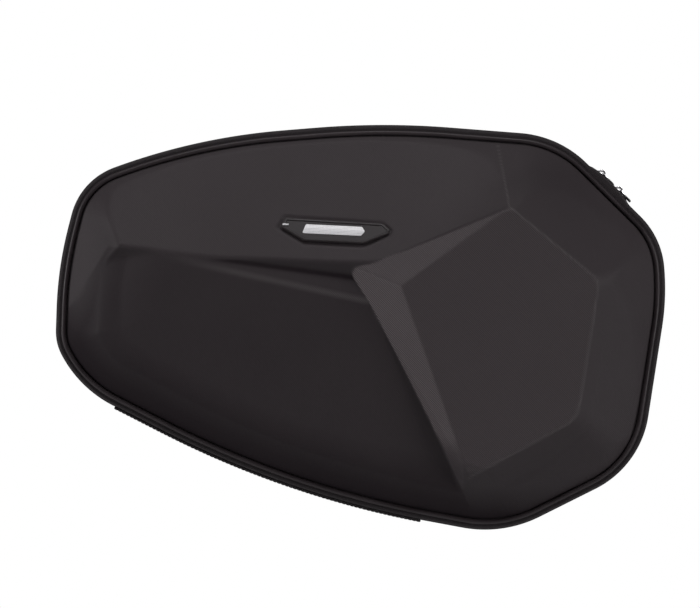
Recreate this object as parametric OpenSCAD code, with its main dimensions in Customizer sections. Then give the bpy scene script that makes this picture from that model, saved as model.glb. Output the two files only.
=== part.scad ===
// Semi-rigid motorcycle saddlebag: a moulded lid on a zipped case that grows by a second zip.
// Everything is drawn in the bag's face frame: x along the bag, y up and z out from the
// motorcycle, with the back pad's face at z = 0. stand() then turns it to the part's frame,
// where +Z is up and the lid faces -Y.

/* [Overall] */
// Length of the bag
body_l = 488; // [460:1:520]
// Height of the bag
body_h = 326; // [310:1:345]

/* [Depth] */
// Thickness of the anti-slip pad on the back
pad_t = 3; // [2:0.5:4]
// Thickness of the back panel
panel_t = 4; // [3:0.5:5]
// Depth from the pad's face to the rear gusset's front rim
rear_d = 56; // [50:1:62]
// Width of the middle gusset, between the two zips
middle_d = 10; // [8:1:16]
// Height of the lid's highest point above its rim
lid_rise = 60; // [56:1:62]

/* [Walls] */
// Thickness of the moulded lid
shell_t = 4; // [3:0.5:5]
// Thickness of the gusset walls
gusset_t = 4; // [3:0.5:5]
// Thickness of the lining
lining_t = 0.8; // [0.6:0.1:1.2]
// Inset of the rear gusset at its front rim
rear_rim_inset = 5; // [4.5:0.1:6]
// Inset of the rear gusset at the back panel
rear_back_inset = 12; // [10:0.5:14]
// Inset of the moulded lid's wall from the bag's outline
shell_inset = 8.5; // [8.3:0.1:10]
// Radius of the piping on the lid and on the back panel
piping_r = 1.9; // [1.6:0.1:2]

/* [Zips] */
// Thickness of a zip tape
tape_t = 1; // [0.8:0.1:1.2]
// Thickness of a zip chain
chain_t = 2.6; // [2.2:0.1:2.8]
// Width of one half of a zip chain
chain_w = 1.5; // [1.2:0.1:1.6]
// Half of the gap between the two chain halves, where the slider's post runs
chain_gap = 0.8; // [0.7:0.05:0.9]
// Inset of the main zip's tape
main_zip_inset = 1; // [1:0.1:1.5]
// Width of the main zip's tape on each side of its centre
main_tape_w = 7; // [6.5:0.1:7]
// Inset of the expansion zip's tape
exp_zip_inset = 5.5; // [5.3:0.1:6]
// Length of a zip slider
slider_l = 12; // [11:0.5:13]
// Width of a main zip slider
slider_w = 11; // [10:0.5:12]
// Width of the expansion zip's slider
exp_slider_w = 9; // [8.5:0.5:9]
// Distance between the two main sliders
slider_pitch = 19; // [18.5:0.5:22]
// Distance from the start of the straight edge to the first main slider
slider_start = 15; // [13:0.5:16]
// Length of a pull tab, from its hinge to its tip
tab_l = 13; // [11:0.5:13]

/* [Fittings] */
// Width of the webbing in the carry handle and the ring tabs
webbing_w = 25; // [20:1:30]
// Thickness of the webbing
webbing_t = 2.2; // [1.8:0.1:2.4]
// Height of the handle's gap at its middle
handle_gap = 4.8; // [4.7:0.1:5.2]
// Inner radius of a D-ring
ring_r = 12; // [10:0.5:14]
// Radius of the wire of a D-ring
ring_wire_r = 1.6; // [1.4:0.1:2]
// Width of the slot in a seat strap keeper
keeper_slot_w = 56; // [52:1:60]
// Height of the slot in a seat strap keeper
keeper_slot_h = 5.4; // [5:0.1:6]

/* [Hidden] */
arc_angle = 9;      // the most that one step of a corner turns
arc_length = 22;    // the most that one step of a corner runs
tiny = 0.2;         // clearance between soft layers
big = 900;

// Depths of the stack, from the pad's face outwards
panel_z = pad_t + panel_t;
board_t = 2;
lining_z = panel_z + board_t + tiny;
exp_parting_z = rear_d + 7;
middle_z = exp_parting_z + 7;
main_rear_z = middle_z + middle_d;
main_parting_z = main_rear_z + main_tape_w;
lid_rear_z = main_parting_z + 6;
rim_z = lid_rear_z + 4;

// Corners of the bag's outline, clockwise from the lower left: x, y and radius
nominal_l = 488;
nominal_h = 326;
outline_corners = [for (c = [
    [-244, -13, 40], [-242, 48, 300], [-224, 118, 54], [-131, 152, 510],
    [18, 164, 670], [159, 153, 84], [241, 72, 64], [245, 24, 200],
    [224, -111, 78], [114, -166, 98], [-58, -134, 780], [-224, -49, 95]])
    [c[0] * body_l / nominal_l, c[1] * body_h / nominal_h, c[2]]];
ring_left_corner = 3;    // the corner whose long arc carries the left D-ring
upper_right_edge = 5;    // the straight edges, by the corner that they start from
lower_right_edge = 8;
hinge_corner = 10;       // the corner whose long arc carries the lid's hinge

// ---- rounded outlines ----

function flat(v) = [v[0], v[1]];
function unit(v) = v / norm(v);
function edge_normal(c, i) = let (n = len(c), d = unit(flat(c[(i + 1) % n]) - flat(c[i % n]))) [-d[1], d[0]];
function normal_before(c, i) = edge_normal(c, (i + len(c) - 1) % len(c));
function arc_centre(c, i) = let (a = normal_before(c, i), b = edge_normal(c, i))
    flat(c[i]) - (a + b) / (1 + a * b) * c[i][2];
// The points of a clockwise polygon with rounded corners, moved inwards by inset.
function rounded(c, inset = 0) = [for (i = [0:len(c) - 1])
    let (a = normal_before(c, i), turn = acos(a * edge_normal(c, i)), start = atan2(a[1], a[0]),
        steps = max(2, ceil(turn / arc_angle), ceil(turn * PI / 180 * c[i][2] / arc_length)))
    for (k = [0:steps])
        let (t = start - turn * k / steps)
        arc_centre(c, i) + (c[i][2] - inset) * [cos(t), sin(t)]];
function outline(inset) = rounded(outline_corners, inset);
function ring(inset, z) = [for (p = outline(inset)) [p[0], p[1], z]];
// A point on a straight edge, that far past the end of the corner before it.
function on_edge(i, along) = let (n = edge_normal(outline_corners, i))
    arc_centre(outline_corners, i) + outline_corners[i][2] * n + along * [n[1], -n[0]];
function edge_angle(i) = let (n = edge_normal(outline_corners, i)) atan2(-n[0], n[1]);
function edge_run(i) = norm(on_edge(i, 0) - arc_centre(outline_corners, i + 1)
    - outline_corners[i + 1][2] * edge_normal(outline_corners, i));

// The rear gusset's inset at a depth: it narrows towards the back.
draft = (rear_back_inset - rear_rim_inset) / (rear_d - panel_z);
draft_angle = atan(draft);
function rear_inset(z) = rear_rim_inset + (rear_d - z) * draft;

// ---- solids from rings ----

module skin(rings, closed = false) {
    n = len(rings[0]);
    m = len(rings);
    last = closed ? m - 1 : m - 2;
    polyhedron(points = [for (r = rings) each r], faces = concat(
        closed ? [] : [[for (i = [n - 1:-1:0]) i], [for (i = [0:n - 1]) (m - 1) * n + i]],
        [for (j = [0:last]) for (i = [0:n - 1])
            let (a = j * n, b = ((j + 1) % m) * n, k = (i + 1) % n) [a + i, a + k, b + k, b + i]]));
}
// A hoop round the bag, from a profile of [inset, z] points that rises on its outer side.
module hoop(profile) { skin([for (p = profile) ring(p[0], p[1])], closed = true); }
module bead(inset, z, r) {
    hoop([for (k = [0:7]) let (a = 22.5 + 45 * k) [inset - r * cos(a), z + r * sin(a)]]);
}
module slab(inset, z0, z1) { translate([0, 0, z0]) linear_extrude(z1 - z0) polygon(outline(inset)); }
module band(outer, inner, z0, z1) {
    translate([0, 0, z0]) linear_extrude(z1 - z0) difference() {
        polygon(outline(outer));
        polygon(outline(inner));
    }
}
// Children in the frame of a straight edge: x along it, y outwards and z out from the motorcycle.
module at_edge(i, along, z) {
    translate([each on_edge(i, along), z]) rotate([0, 0, edge_angle(i)]) children();
}
// The same frame, on the arc of a corner, that many degrees past its start.
module at_arc(i, turn, z) {
    n = normal_before(outline_corners, i);
    t = atan2(n[1], n[0]) - turn;
    p = arc_centre(outline_corners, i) + outline_corners[i][2] * [cos(t), sin(t)];
    translate([p[0], p[1], z]) rotate([0, 0, t - 90]) children();
}
// Moves children from the outline to the rear gusset's slanting wall.
module on_wall(z) { translate([0, -rear_inset(z), 0]) rotate([-draft_angle, 0, 0]) children(); }
module stand() { rotate([90, 0, 0]) children(); }

// ---- rear case ----

module back_panel() { color("#232122") stand() slab(rear_back_inset, pad_t, panel_z); }

module back_board() {
    color("#101010") stand() slab(rear_back_inset + gusset_t + 1, panel_z, panel_z + board_t);
}

pad_corners = [[-168, -34, 20], [-168, 66, 20], [184, 66, 20], [196, 20, 20],
    [170, -78, 20], [96, -106, 20], [-50, -86, 60]];
module antislip_pad() {
    color("#2b2a2a") stand() linear_extrude(pad_t) polygon(rounded(pad_corners));
}

module rear_gusset() {
    color("#262425") stand() hoop([
        [rear_back_inset, panel_z], [rear_rim_inset, rear_d],
        [rear_rim_inset + gusset_t, rear_d], [rear_back_inset + gusset_t, panel_z]]);
}

module rear_piping() {
    color("#1d1c1c") stand() bead(rear_back_inset - piping_r - tiny, panel_z - 1, piping_r);
}

module rear_lining() {
    wall = gusset_t + 2 * tiny;
    floor_inset = rear_inset(lining_z) + wall;
    color("#3a393b") stand() skin([
        ring(floor_inset, lining_z), ring(rear_rim_inset + wall, rear_d),
        ring(rear_rim_inset + wall + lining_t, rear_d),
        ring(floor_inset + lining_t, lining_z + lining_t)]);
}

strap_w = 25;
strap_t = 1.2;
module retention_strap(from, to, layer) {
    z = lining_z + lining_t + tiny + layer * (strap_t + tiny);
    along = to - from;
    color("#141414") stand() translate([from[0], from[1], z])
        rotate([0, 0, atan2(along[1], along[0])])
        translate([0, -strap_w / 2, 0]) cube([norm(along), strap_w, strap_t]);
}
module retention_strap_a() { retention_strap([-185, 82], [148, -92], 0); }
module retention_strap_b() { retention_strap([-165, -28], [178, 78], 1); }

// A bridge of webbing on the back panel that a strap runs through, up and down.
module keeper(x, y, slot_w, slot_h, height) {
    leg = 5;
    color("#1a1919") stand() translate([x, y - height / 2, pad_t]) rotate([90, 0, 180])
        linear_extrude(height) difference() {
            translate([-slot_w / 2 - leg, -slot_h - webbing_t])
                square([slot_w + 2 * leg, slot_h + webbing_t]);
            translate([-slot_w / 2, -slot_h]) square([slot_w, slot_h + 1]);
        }
}
keeper_x = 92;
keeper_y = 100;
keeper_h = 34;
module seat_strap_keeper_left() { keeper(-keeper_x, keeper_y, keeper_slot_w, keeper_slot_h, keeper_h); }
module seat_strap_keeper_right() { keeper(keeper_x, keeper_y, keeper_slot_w, keeper_slot_h, keeper_h); }

patch_t = 1.6;
module hook_patch() {
    color("#0e0e0e") stand() translate([-38, keeper_y - 20, pad_t - patch_t]) cube([76, 40, patch_t]);
}

loop_slot_w = 26;
loop_slot_h = 4.6;
loop_h = 22;
module tie_down_loop_left() { keeper(-194, -12, loop_slot_w, loop_slot_h, loop_h); }
module tie_down_loop_right() { keeper(140, -118, loop_slot_w, loop_slot_h, loop_h); }

// The handle lies along the top of the rear gusset and bows up at its middle.
handle_x = 18;
handle_half = 84;
handle_free = 58;
handle_patch_l = 22;
handle_patch_t = 1.2;
handle_z = 30;
function top_y(x, z) = lookup(x, [for (p = outline(rear_inset(z))) if (p[1] > body_h / 4) p]);
handle_front_z = handle_z + webbing_w / 2;
function handle_bow(x) = abs(x) > handle_free ? 0 : pow(cos(90 * x / handle_free), 2);
// At its ends the handle lies on the slanting gusset, and at its middle it is level.
function handle_point(x, z, lift) = let (bow = handle_bow(x), level = z + (handle_front_z - z) * bow)
    [handle_x + x, top_y(handle_x + x, level) + tiny + handle_gap * bow + lift, z];
// A strip of webbing on the handle's line.
module handle_strip(from, to, steps, lift, thick, width) {
    front = handle_z + width / 2;
    back = handle_z - width / 2;
    skin([for (k = [0:steps]) let (x = from + (to - from) * k / steps) [
        handle_point(x, front, lift + thick), handle_point(x, back, lift + thick),
        handle_point(x, back, lift), handle_point(x, front, lift)]]);
}
module carry_handle() {
    color("#1a1919") stand() handle_strip(-handle_half, handle_half, 24, 0, webbing_t, webbing_w);
}
module handle_patch(from) {
    color("#101010") stand() handle_strip(from, from + handle_patch_l, 2, webbing_t + tiny,
        handle_patch_t, webbing_w + 4);
}
module handle_patch_left() { handle_patch(-handle_half); }
module handle_patch_right() { handle_patch(handle_half - handle_patch_l); }

// A D-ring in a folded webbing tab, lying back along the gusset.
ring_z = 34;
ring_lift = ring_wire_r + 2.2;
tab_hole_r = ring_wire_r + 0.3;
tab_layer = 1.2;
ring_tab_w = 2 * ring_r - 3;
ring_tab_l = 18;
ring_left_turn = 5;
ring_right_along = 30;
module at_left_ring() { at_arc(ring_left_corner, ring_left_turn, ring_z) on_wall(ring_z) children(); }
module at_right_ring() { at_edge(upper_right_edge, ring_right_along, ring_z) on_wall(ring_z) children(); }
module ring_tab() {
    color("#1a1919") rotate([0, -90, 0])
        translate([0, 0, -ring_tab_w / 2]) linear_extrude(ring_tab_w) difference() {
            union() {
                translate([0, ring_lift]) circle(tab_hole_r + tab_layer, $fn = 32);
                translate([0, tiny]) square([ring_tab_l, 2 * tab_layer]);
                translate([0, tiny]) square([tab_hole_r + tab_layer, ring_lift]);
            }
            translate([0, ring_lift]) circle(tab_hole_r, $fn = 32);
        }
}
module ring_tab_left() { stand() at_left_ring() ring_tab(); }
module ring_tab_right() { stand() at_right_ring() ring_tab(); }

module d_ring() {
    color("#9a9a9c") translate([0, ring_lift, 0]) {
        rotate([0, 90, 0]) cylinder(h = 2 * ring_r + 2 * ring_wire_r, r = ring_wire_r, center = true, $fn = 32);
        rotate([90, 0, 0]) rotate([0, 0, 180]) rotate_extrude(angle = 180, $fn = 48)
            translate([ring_r + ring_wire_r, 0]) circle(ring_wire_r, $fn = 24);
        for (s = [-1, 1]) translate([s * (ring_r + ring_wire_r), 0, 0]) sphere(ring_wire_r, $fn = 24);
    }
}
module d_ring_left() { stand() at_left_ring() d_ring(); }
module d_ring_right() { stand() at_right_ring() d_ring(); }

// ---- zips ----

chain_over = (chain_t - tape_t) / 2;
module zip_half(inset, parting, far, side) {
    near = parting + side * chain_gap;
    chain_end = near + side * chain_w;
    band(inset - chain_over, inset + tape_t + chain_over, min(near, chain_end), max(near, chain_end));
    tape_start = chain_end - side * 0.3;
    band(inset, inset + tape_t, min(tape_start, far), max(tape_start, far));
}
module expansion_zip_rear() {
    color("#1c1b1b") stand() zip_half(exp_zip_inset, exp_parting_z, rear_d, -1);
}
module expansion_zip_front() {
    color("#1c1b1b") stand() zip_half(exp_zip_inset, exp_parting_z, middle_z, 1);
}
module main_zip_rear() {
    color("#1c1b1b") stand() difference() {
        zip_half(main_zip_inset, main_parting_z, main_rear_z, -1);
        hinge_zone();
    }
}
module main_zip_front() {
    color("#1c1b1b") stand() difference() {
        zip_half(main_zip_inset, main_parting_z, lid_rear_z, 1);
        hinge_zone();
    }
}

// The fabric that the expansion zip hides, folded inwards.
bellows_t = 0.8;
bellows_inset = rear_rim_inset + gusset_t - bellows_t;
bellows_depth = 10;
module expansion_bellows() {
    in = bellows_inset + bellows_depth;
    half = exp_parting_z - rear_d;
    color("#2c2b2c") stand() hoop([
        [bellows_inset, exp_parting_z - half], [in - bellows_t, exp_parting_z],
        [bellows_inset, exp_parting_z + half], [bellows_inset + bellows_t, exp_parting_z + half],
        [in + bellows_t, exp_parting_z], [bellows_inset + bellows_t, exp_parting_z - half]]);
}

// A slider's plates lie either side of the chain, and its post runs in the gap between the halves.
plate_t = 1.4;
plate_gap = 0.8;
crown_r = 3.8;
crown_wire_r = 0.9;
function plate_top(inset) = -inset + chain_over + plate_gap + plate_t;
function puller_axis(inset) = plate_top(inset) + 1.3;
module slider(inset, nose, width) {
    top = plate_top(inset);
    bottom = -inset - tape_t - chain_over - plate_gap - plate_t;
    for (y = [top - plate_t, bottom]) translate([-slider_l / 2, y, -width / 2])
        cube([slider_l, plate_t, width]);
    translate([nose * 3.5 - 1.25, bottom + 0.1, -chain_gap + 0.25])
        cube([2.5, top - bottom - 0.2, 2 * chain_gap - 0.5]);
    translate([0, top - 0.3, 0]) rotate_extrude(angle = 180, $fn = 48)
        translate([crown_r, 0]) circle(crown_wire_r, $fn = 24);
}
puller_w = 9;
exp_puller_w = 8;
puller_t = 1.6;
puller_bar_r = 0.8;
cheek = [1.9, 3.4];
tab_near = 6;
module puller(inset, width) {
    translate([0, puller_axis(inset), 0]) {
        cylinder(h = 2 * cheek[1], r = puller_bar_r, center = true, $fn = 24);
        for (z = [cheek[0], -cheek[1]]) translate([0, -puller_t / 2, z])
            cube([tab_near + 1, puller_t, cheek[1] - cheek[0]]);
        difference() {
            translate([tab_near, -puller_t / 2, -width / 2]) cube([tab_l - tab_near, puller_t, width]);
            translate([tab_l - 4, 0, 0]) rotate([90, 0, 0]) cylinder(h = 4, r = 2, center = true, $fn = 32);
        }
    }
}
module main_slider_a() {
    color("silver") stand() at_edge(upper_right_edge, slider_start, main_parting_z)
        slider(main_zip_inset, 1, slider_w);
}
module main_puller_a() {
    color("silver") stand() at_edge(upper_right_edge, slider_start, main_parting_z)
        puller(main_zip_inset, puller_w);
}
module main_slider_b() {
    color("silver") stand() at_edge(upper_right_edge, slider_start + slider_pitch, main_parting_z)
        slider(main_zip_inset, -1, slider_w);
}
module main_puller_b() {
    color("silver") stand() at_edge(upper_right_edge, slider_start + slider_pitch, main_parting_z)
        puller(main_zip_inset, puller_w);
}
exp_slider_along = edge_run(lower_right_edge) / 2;
module expansion_slider() {
    color("silver") stand() at_edge(lower_right_edge, exp_slider_along, exp_parting_z)
        slider(exp_zip_inset, 1, exp_slider_w);
}
module expansion_puller() {
    color("silver") stand() at_edge(lower_right_edge, exp_slider_along, exp_parting_z)
        puller(exp_zip_inset, exp_puller_w);
}

// ---- middle of the case ----

middle_flange_t = 2;
module middle_gusset() {
    color("#262425") stand() {
        band(0, gusset_t, middle_z, main_rear_z);
        band(0, rear_rim_inset + gusset_t, middle_z, middle_z + middle_flange_t);
    }
}

// The hinge's axis touches the outline at the middle of the hinge panel.
hinge_angle = -20.6;
hinge_half = 128;
hinge_out = 1;
hinge_normal = [sin(hinge_angle), -cos(hinge_angle)];
hinge_point = arc_centre(outline_corners, hinge_corner)
    + (outline_corners[hinge_corner][2] + hinge_out) * hinge_normal;
module hinge_zone() {
    translate([each hinge_point, main_parting_z]) rotate([0, 0, hinge_angle])
        translate([-hinge_half, -20, -20]) cube([2 * hinge_half, 50, 40]);
}
module hinge_panel() {
    color("#161515") stand() intersection() {
        band(-2.2, -tiny, main_rear_z - 2, lid_rear_z + 2.5);
        hinge_zone();
    }
}

// ---- lid ----

flange_t = 1.5;
module lid_gusset() {
    outer = main_zip_inset;
    inner = shell_inset + shell_t;
    color("#1f1e1e") stand() hoop([
        [outer, lid_rear_z], [outer, rim_z], [inner, rim_z], [inner, rim_z - flange_t],
        [outer + tape_t + tiny, rim_z - flange_t], [outer + tape_t + tiny, lid_rear_z]]);
}

piping_inset = shell_inset - piping_r - 0.4;
module front_piping() {
    color("#242324") stand() bead(piping_inset, rim_z + piping_r, piping_r);
}

// The lid's facets, each by three points: x, y and height above the rim.
// The raised panel is a plane, and its far corners lie on it.
plateau = [[32, 33, 60], [117, 95, 57], [86, -118, 44]];
function height_on(f, x, y) = let (n = cross(f[1] - f[0], f[2] - f[0]))
    f[0][2] - (n[0] * (x - f[0][0]) + n[1] * (y - f[0][1])) / n[2];
function on_plateau(x, y) = [x, y, height_on(plateau, x, y)];
plateau_right = on_plateau(188, 37);
plateau_low = on_plateau(171, -72);
// The ridge, and the groove under it, run from the left corner to the panel's near corner.
left_corner = [-200, 66, 38];
groove_start = [-190, 65, 37.8];
ridge_end = [9, 51, 46];
groove_end = [21, 36, 38];
lip_end = [6, 21, 41];
lower_end = [80, -117, 33];
facet_upper = [ridge_end, left_corner, [-20, 150, 6]];
facet_step = [groove_start, ridge_end, groove_end];
facet_lip = [groove_start, groove_end, lip_end];
facet_lower = [[-200, 64, 38], lip_end, lower_end];
facet_rim_left = [[-190, -56, 9], [-90, -103, 9], [-126, -51, 31]];
facet_rim_middle = [[-60, -114, 9], [50, -144, 9], [4, -99, 32]];
facet_rim_right = [[60, -146, 9], [110, -152, 9], [88, -116, 44]];
facet_left = [[-199, 64, 38], [-221, -6, 28], [-233, 30, 8]];
facet_bevel_up = [ridge_end, plateau[1], plateau[0]];
facet_bevel_left = [lip_end, plateau[0], plateau[2]];
facet_bevel_low = [[7, 24, 42], [84, -118, 41], lower_end];
facet_top_right = [ridge_end, plateau[1], [60, 147, 6]];
facet_right_up = [plateau[1], plateau_right, [197, 104, 8]];
facet_right = [plateau_right, plateau_low, [229, -20, 8]];
facet_right_down = [plateau_low, plateau[2], [162, -133, 8]];
rise_scale = lid_rise / 60;
function facet_point(p) = [p[0] * body_l / nominal_l, p[1] * body_h / nominal_h, rim_z + p[2] * rise_scale];
function facet_normal(f) = let (a = facet_point(f[0]), n = unit(cross(facet_point(f[1]) - a,
        facet_point(f[2]) - a))) n[2] < 0 ? -n : n;
// Everything that lies at least t below a facet.
module below(f, t) {
    n = facet_normal(f);
    translate(facet_point(f[0]) - t * n) rotate([0, acos(n[2]), atan2(n[1], n[0])])
        translate([-big / 2, -big / 2, -big]) cube(big);
}
module lid_solid(t) {
    intersection() {
        slab(shell_inset + t, rim_z - (t > 0 ? 1 : 0), rim_z + lid_rise + 10);
        below(facet_left, t);
        below(facet_right_up, t);
        below(facet_right, t);
        below(facet_right_down, t);
        below(facet_rim_right, t);
        union() {
            intersection() { below(facet_upper, t); below(facet_step, t); }
            intersection() {
                below(facet_upper, t);
                below(facet_lip, t);
                below(facet_lower, t);
                below(facet_rim_left, t);
                below(facet_rim_middle, t);
            }
            intersection() {
                below(plateau, t);
                below(facet_bevel_up, t);
                below(facet_bevel_left, t);
                below(facet_bevel_low, t);
                below(facet_top_right, t);
            }
        }
    }
}
module front_shell() {
    color("#3a3637") stand() difference() {
        lid_solid(0);
        lid_solid(shell_t);
    }
}
module lid_lining() {
    color("#3a393b") stand() intersection() {
        difference() {
            lid_solid(shell_t + tiny);
            lid_solid(shell_t + tiny + lining_t);
        }
        translate([-big / 2, -big / 2, rim_z]) cube(big);
    }
}

pocket_z = rim_z + 1.2;
pocket_t = 0.8;
pocket_inset = shell_inset + shell_t + 3.2;
pocket_line = [[-230, 28], [232, -14]];
module pocket_area(lift) {
    along = pocket_line[1] - pocket_line[0];
    translate(pocket_line[0] + [0, lift]) rotate(atan2(along[1], along[0])) translate([-60, -big])
        square([big, big]);
}
module mesh_pocket() {
    color("#202022") stand() translate([0, 0, pocket_z]) linear_extrude(pocket_t) intersection() {
        polygon(outline(pocket_inset));
        pocket_area(0);
    }
}
hem_w = 12;
hem_t = 2.4;
module pocket_hem() {
    color("#101010") stand() translate([0, 0, pocket_z + pocket_t / 2 - hem_t / 2])
        linear_extrude(hem_t) intersection() {
            polygon(outline(pocket_inset));
            difference() { pocket_area(hem_w + 0.1); pocket_area(0.1); }
        }
}

// The badge lies on the upper facet.
badge_corners = [[-43, 1, 2.5], [-39, 9, 3], [38, 8, 3], [44, 3, 2], [43, -1, 2], [24, -10, 4], [-23, -10, 4]];
badge_x = -21;
badge_y = 76;
badge_turn = -3;
badge_t = 2.6;
inlay_corners = [[-21, 0, 1.4], [-16, 4.4, 1.4], [16, 4.4, 1.4], [21, 0, 1.4], [16, -3.6, 1.4], [-16, -3.6, 1.4]];
inlay_t = 0.6;
function facet_z(f, x, y) = let (n = facet_normal(f), a = facet_point(f[0]))
    a[2] - (n[0] * (x - a[0]) + n[1] * (y - a[1])) / n[2];
// Children lying on a facet above the point (x, y), without turning in its plane.
module on_facet(f, x, y) {
    n = facet_normal(f);
    tilt_y = asin(n[0]);
    tilt_x = atan2(-n[1], n[2]);
    translate([x, y, facet_z(f, x, y)]) rotate([tilt_x, 0, 0]) rotate([0, tilt_y, 0]) children();
}
module badge_plate() {
    color("#2a2828") stand() on_facet(facet_upper, badge_x, badge_y) rotate([0, 0, badge_turn])
        difference() {
            linear_extrude(badge_t) polygon(rounded(badge_corners));
            translate([0, 0, badge_t - inlay_t]) linear_extrude(inlay_t + 1) polygon(rounded(inlay_corners));
        }
}
module badge_inlay() {
    color("#e8e8ea") stand() on_facet(facet_upper, badge_x, badge_y) rotate([0, 0, badge_turn])
        translate([0, 0, badge_t - inlay_t]) linear_extrude(inlay_t) polygon(rounded(inlay_corners));
}

back_panel();
back_board();
antislip_pad();
rear_gusset();
rear_piping();
rear_lining();
retention_strap_a();
retention_strap_b();
seat_strap_keeper_left();
seat_strap_keeper_right();
hook_patch();
tie_down_loop_left();
tie_down_loop_right();
carry_handle();
handle_patch_left();
handle_patch_right();
ring_tab_left();
ring_tab_right();
d_ring_left();
d_ring_right();
expansion_zip_rear();
expansion_bellows();
expansion_slider();
expansion_puller();
expansion_zip_front();
middle_gusset();
main_zip_rear();
hinge_panel();
main_slider_a();
main_puller_a();
main_slider_b();
main_puller_b();
main_zip_front();
lid_gusset();
front_piping();
front_shell();
lid_lining();
mesh_pocket();
pocket_hem();
badge_plate();
badge_inlay();
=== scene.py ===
"""Looks of a semi-rigid motorcycle saddlebag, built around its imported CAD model."""
import math

import bmesh
import bpy
import numpy as np
from mathutils import Matrix, Vector, noise

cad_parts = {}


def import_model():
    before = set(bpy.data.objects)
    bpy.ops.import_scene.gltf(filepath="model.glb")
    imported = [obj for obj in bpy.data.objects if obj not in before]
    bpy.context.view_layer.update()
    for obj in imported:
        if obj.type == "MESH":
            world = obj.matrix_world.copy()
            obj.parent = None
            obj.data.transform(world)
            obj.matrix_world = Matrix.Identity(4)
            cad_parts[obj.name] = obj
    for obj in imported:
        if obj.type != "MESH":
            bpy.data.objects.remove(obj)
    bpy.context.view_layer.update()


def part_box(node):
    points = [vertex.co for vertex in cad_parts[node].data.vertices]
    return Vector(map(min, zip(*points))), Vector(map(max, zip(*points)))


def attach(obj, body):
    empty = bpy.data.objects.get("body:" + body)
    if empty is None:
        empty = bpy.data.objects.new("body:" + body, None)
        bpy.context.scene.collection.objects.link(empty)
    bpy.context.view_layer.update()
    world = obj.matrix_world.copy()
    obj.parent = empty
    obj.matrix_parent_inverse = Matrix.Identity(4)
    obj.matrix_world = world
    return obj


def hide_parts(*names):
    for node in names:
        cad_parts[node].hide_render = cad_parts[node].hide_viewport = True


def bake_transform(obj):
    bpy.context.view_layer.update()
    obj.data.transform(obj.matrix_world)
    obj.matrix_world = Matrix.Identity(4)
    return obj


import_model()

MM = 0.001
BACKWARD = (0, 1, 0)
FORWARD = (0, -1, 0)

# ---- the bag's outline and depths, in millimetres ----
# Corners of the outline, clockwise as the lid is seen: x, z and radius.
CORNERS = [(-244, -13, 40), (-242, 48, 300), (-224, 118, 54), (-131, 152, 510), (18, 164, 670),
           (159, 153, 84), (241, 72, 64), (245, 24, 200), (224, -111, 78), (114, -166, 98),
           (-58, -134, 780), (-224, -49, 95)]


def depth_of(node, side):
    """Depth of a node's rear (0) or front (1) face from the back pad's face, in millimetres."""
    low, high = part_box(node)
    return (-high.y, -low.y)[side] / MM


PANEL_Z = depth_of("back_panel", 1)
REAR_Z = depth_of("rear_gusset", 1)
MIDDLE_Z0, MIDDLE_Z1 = depth_of("middle_gusset", 0), depth_of("middle_gusset", 1)
EXP_Z = (REAR_Z + MIDDLE_Z0) / 2
LID_Z = depth_of("lid_gusset", 0)
RIM_Z = depth_of("lid_gusset", 1)
MAIN_Z = depth_of("main_zip_rear", 1) + 0.8
SHELL_INSET = 8.5
SHELL_T = 3.4
EXP_INSET = 5.5
MAIN_INSET = 1.0
HINGE_CORNER = 10         # the long, slightly bowed lower edge
HINGE_ANGLE = math.radians(-20.6)
HINGE_HALF = 128


def edge_normal(i, corners=CORNERS):
    """The outward normal of the straight edge after a corner."""
    a, b = corners[i % len(corners)], corners[(i + 1) % len(corners)]
    d = np.array([b[0] - a[0], b[1] - a[1]], float)
    d /= np.linalg.norm(d)
    return np.array([-d[1], d[0]])


def arc_centre(i, corners=CORNERS):
    """The centre of a corner's arc."""
    a, b = edge_normal(i - 1, corners), edge_normal(i, corners)
    corner = corners[i % len(corners)]
    return np.array(corner[:2]) - (a + b) / (1 + a @ b) * corner[2]


def run_lengths(points):
    """Distances run along a line of points."""
    return np.concatenate([[0], np.cumsum(np.linalg.norm(np.diff(points, axis=0), axis=1))])


class Rim:
    """Points along the outline, with their outward normals and distances run."""

    def __init__(self, step, corners=CORNERS):
        points, normals = [], []
        for i, (_, _, radius) in enumerate(corners):
            a, b = edge_normal(i - 1, corners), edge_normal(i, corners)
            turn, start = math.acos(a @ b), math.atan2(a[1], a[0])
            steps = max(2, math.ceil(turn * radius / step))
            for k in range(steps + 1):
                t = start - turn * k / steps
                n = np.array([math.cos(t), math.sin(t)])
                points.append(arc_centre(i, corners) + radius * n)
                normals.append(n)
            j = (i + 1) % len(corners)
            run = arc_centre(j, corners) + corners[j][2] * b - points[-1]
            pieces = max(1, round(np.linalg.norm(run) / step))
            begin = points[-1]
            for k in range(1, pieces):
                points.append(begin + run * k / pieces)
                normals.append(b)
        self.p, self.n = np.array(points), np.array(normals)
        self.s = run_lengths(np.vstack([self.p, self.p[:1]]))
        self.length = self.s[-1]

    def at(self, s):
        """Points and normals at distances s along the outline."""
        s = np.asarray(s) % self.length
        p, n = (np.stack([np.interp(s, self.s, np.append(column, column[0])) for column in v.T], -1)
                for v in (self.p, self.n))
        return p, n / np.linalg.norm(n, axis=-1, keepdims=True)

    def nearest(self, point):
        """Distance along the outline of its point nearest to one."""
        return self.s[np.argmin(np.linalg.norm(self.p - np.array(point), axis=1))]


RIM_STEP = 3.0
RIM = Rim(RIM_STEP)
HINGE_N = np.array([math.sin(HINGE_ANGLE), -math.cos(HINGE_ANGLE)])
HINGE_P = arc_centre(HINGE_CORNER) + CORNERS[HINGE_CORNER][2] * HINGE_N
HINGE_S = RIM.nearest(HINGE_P)


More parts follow.
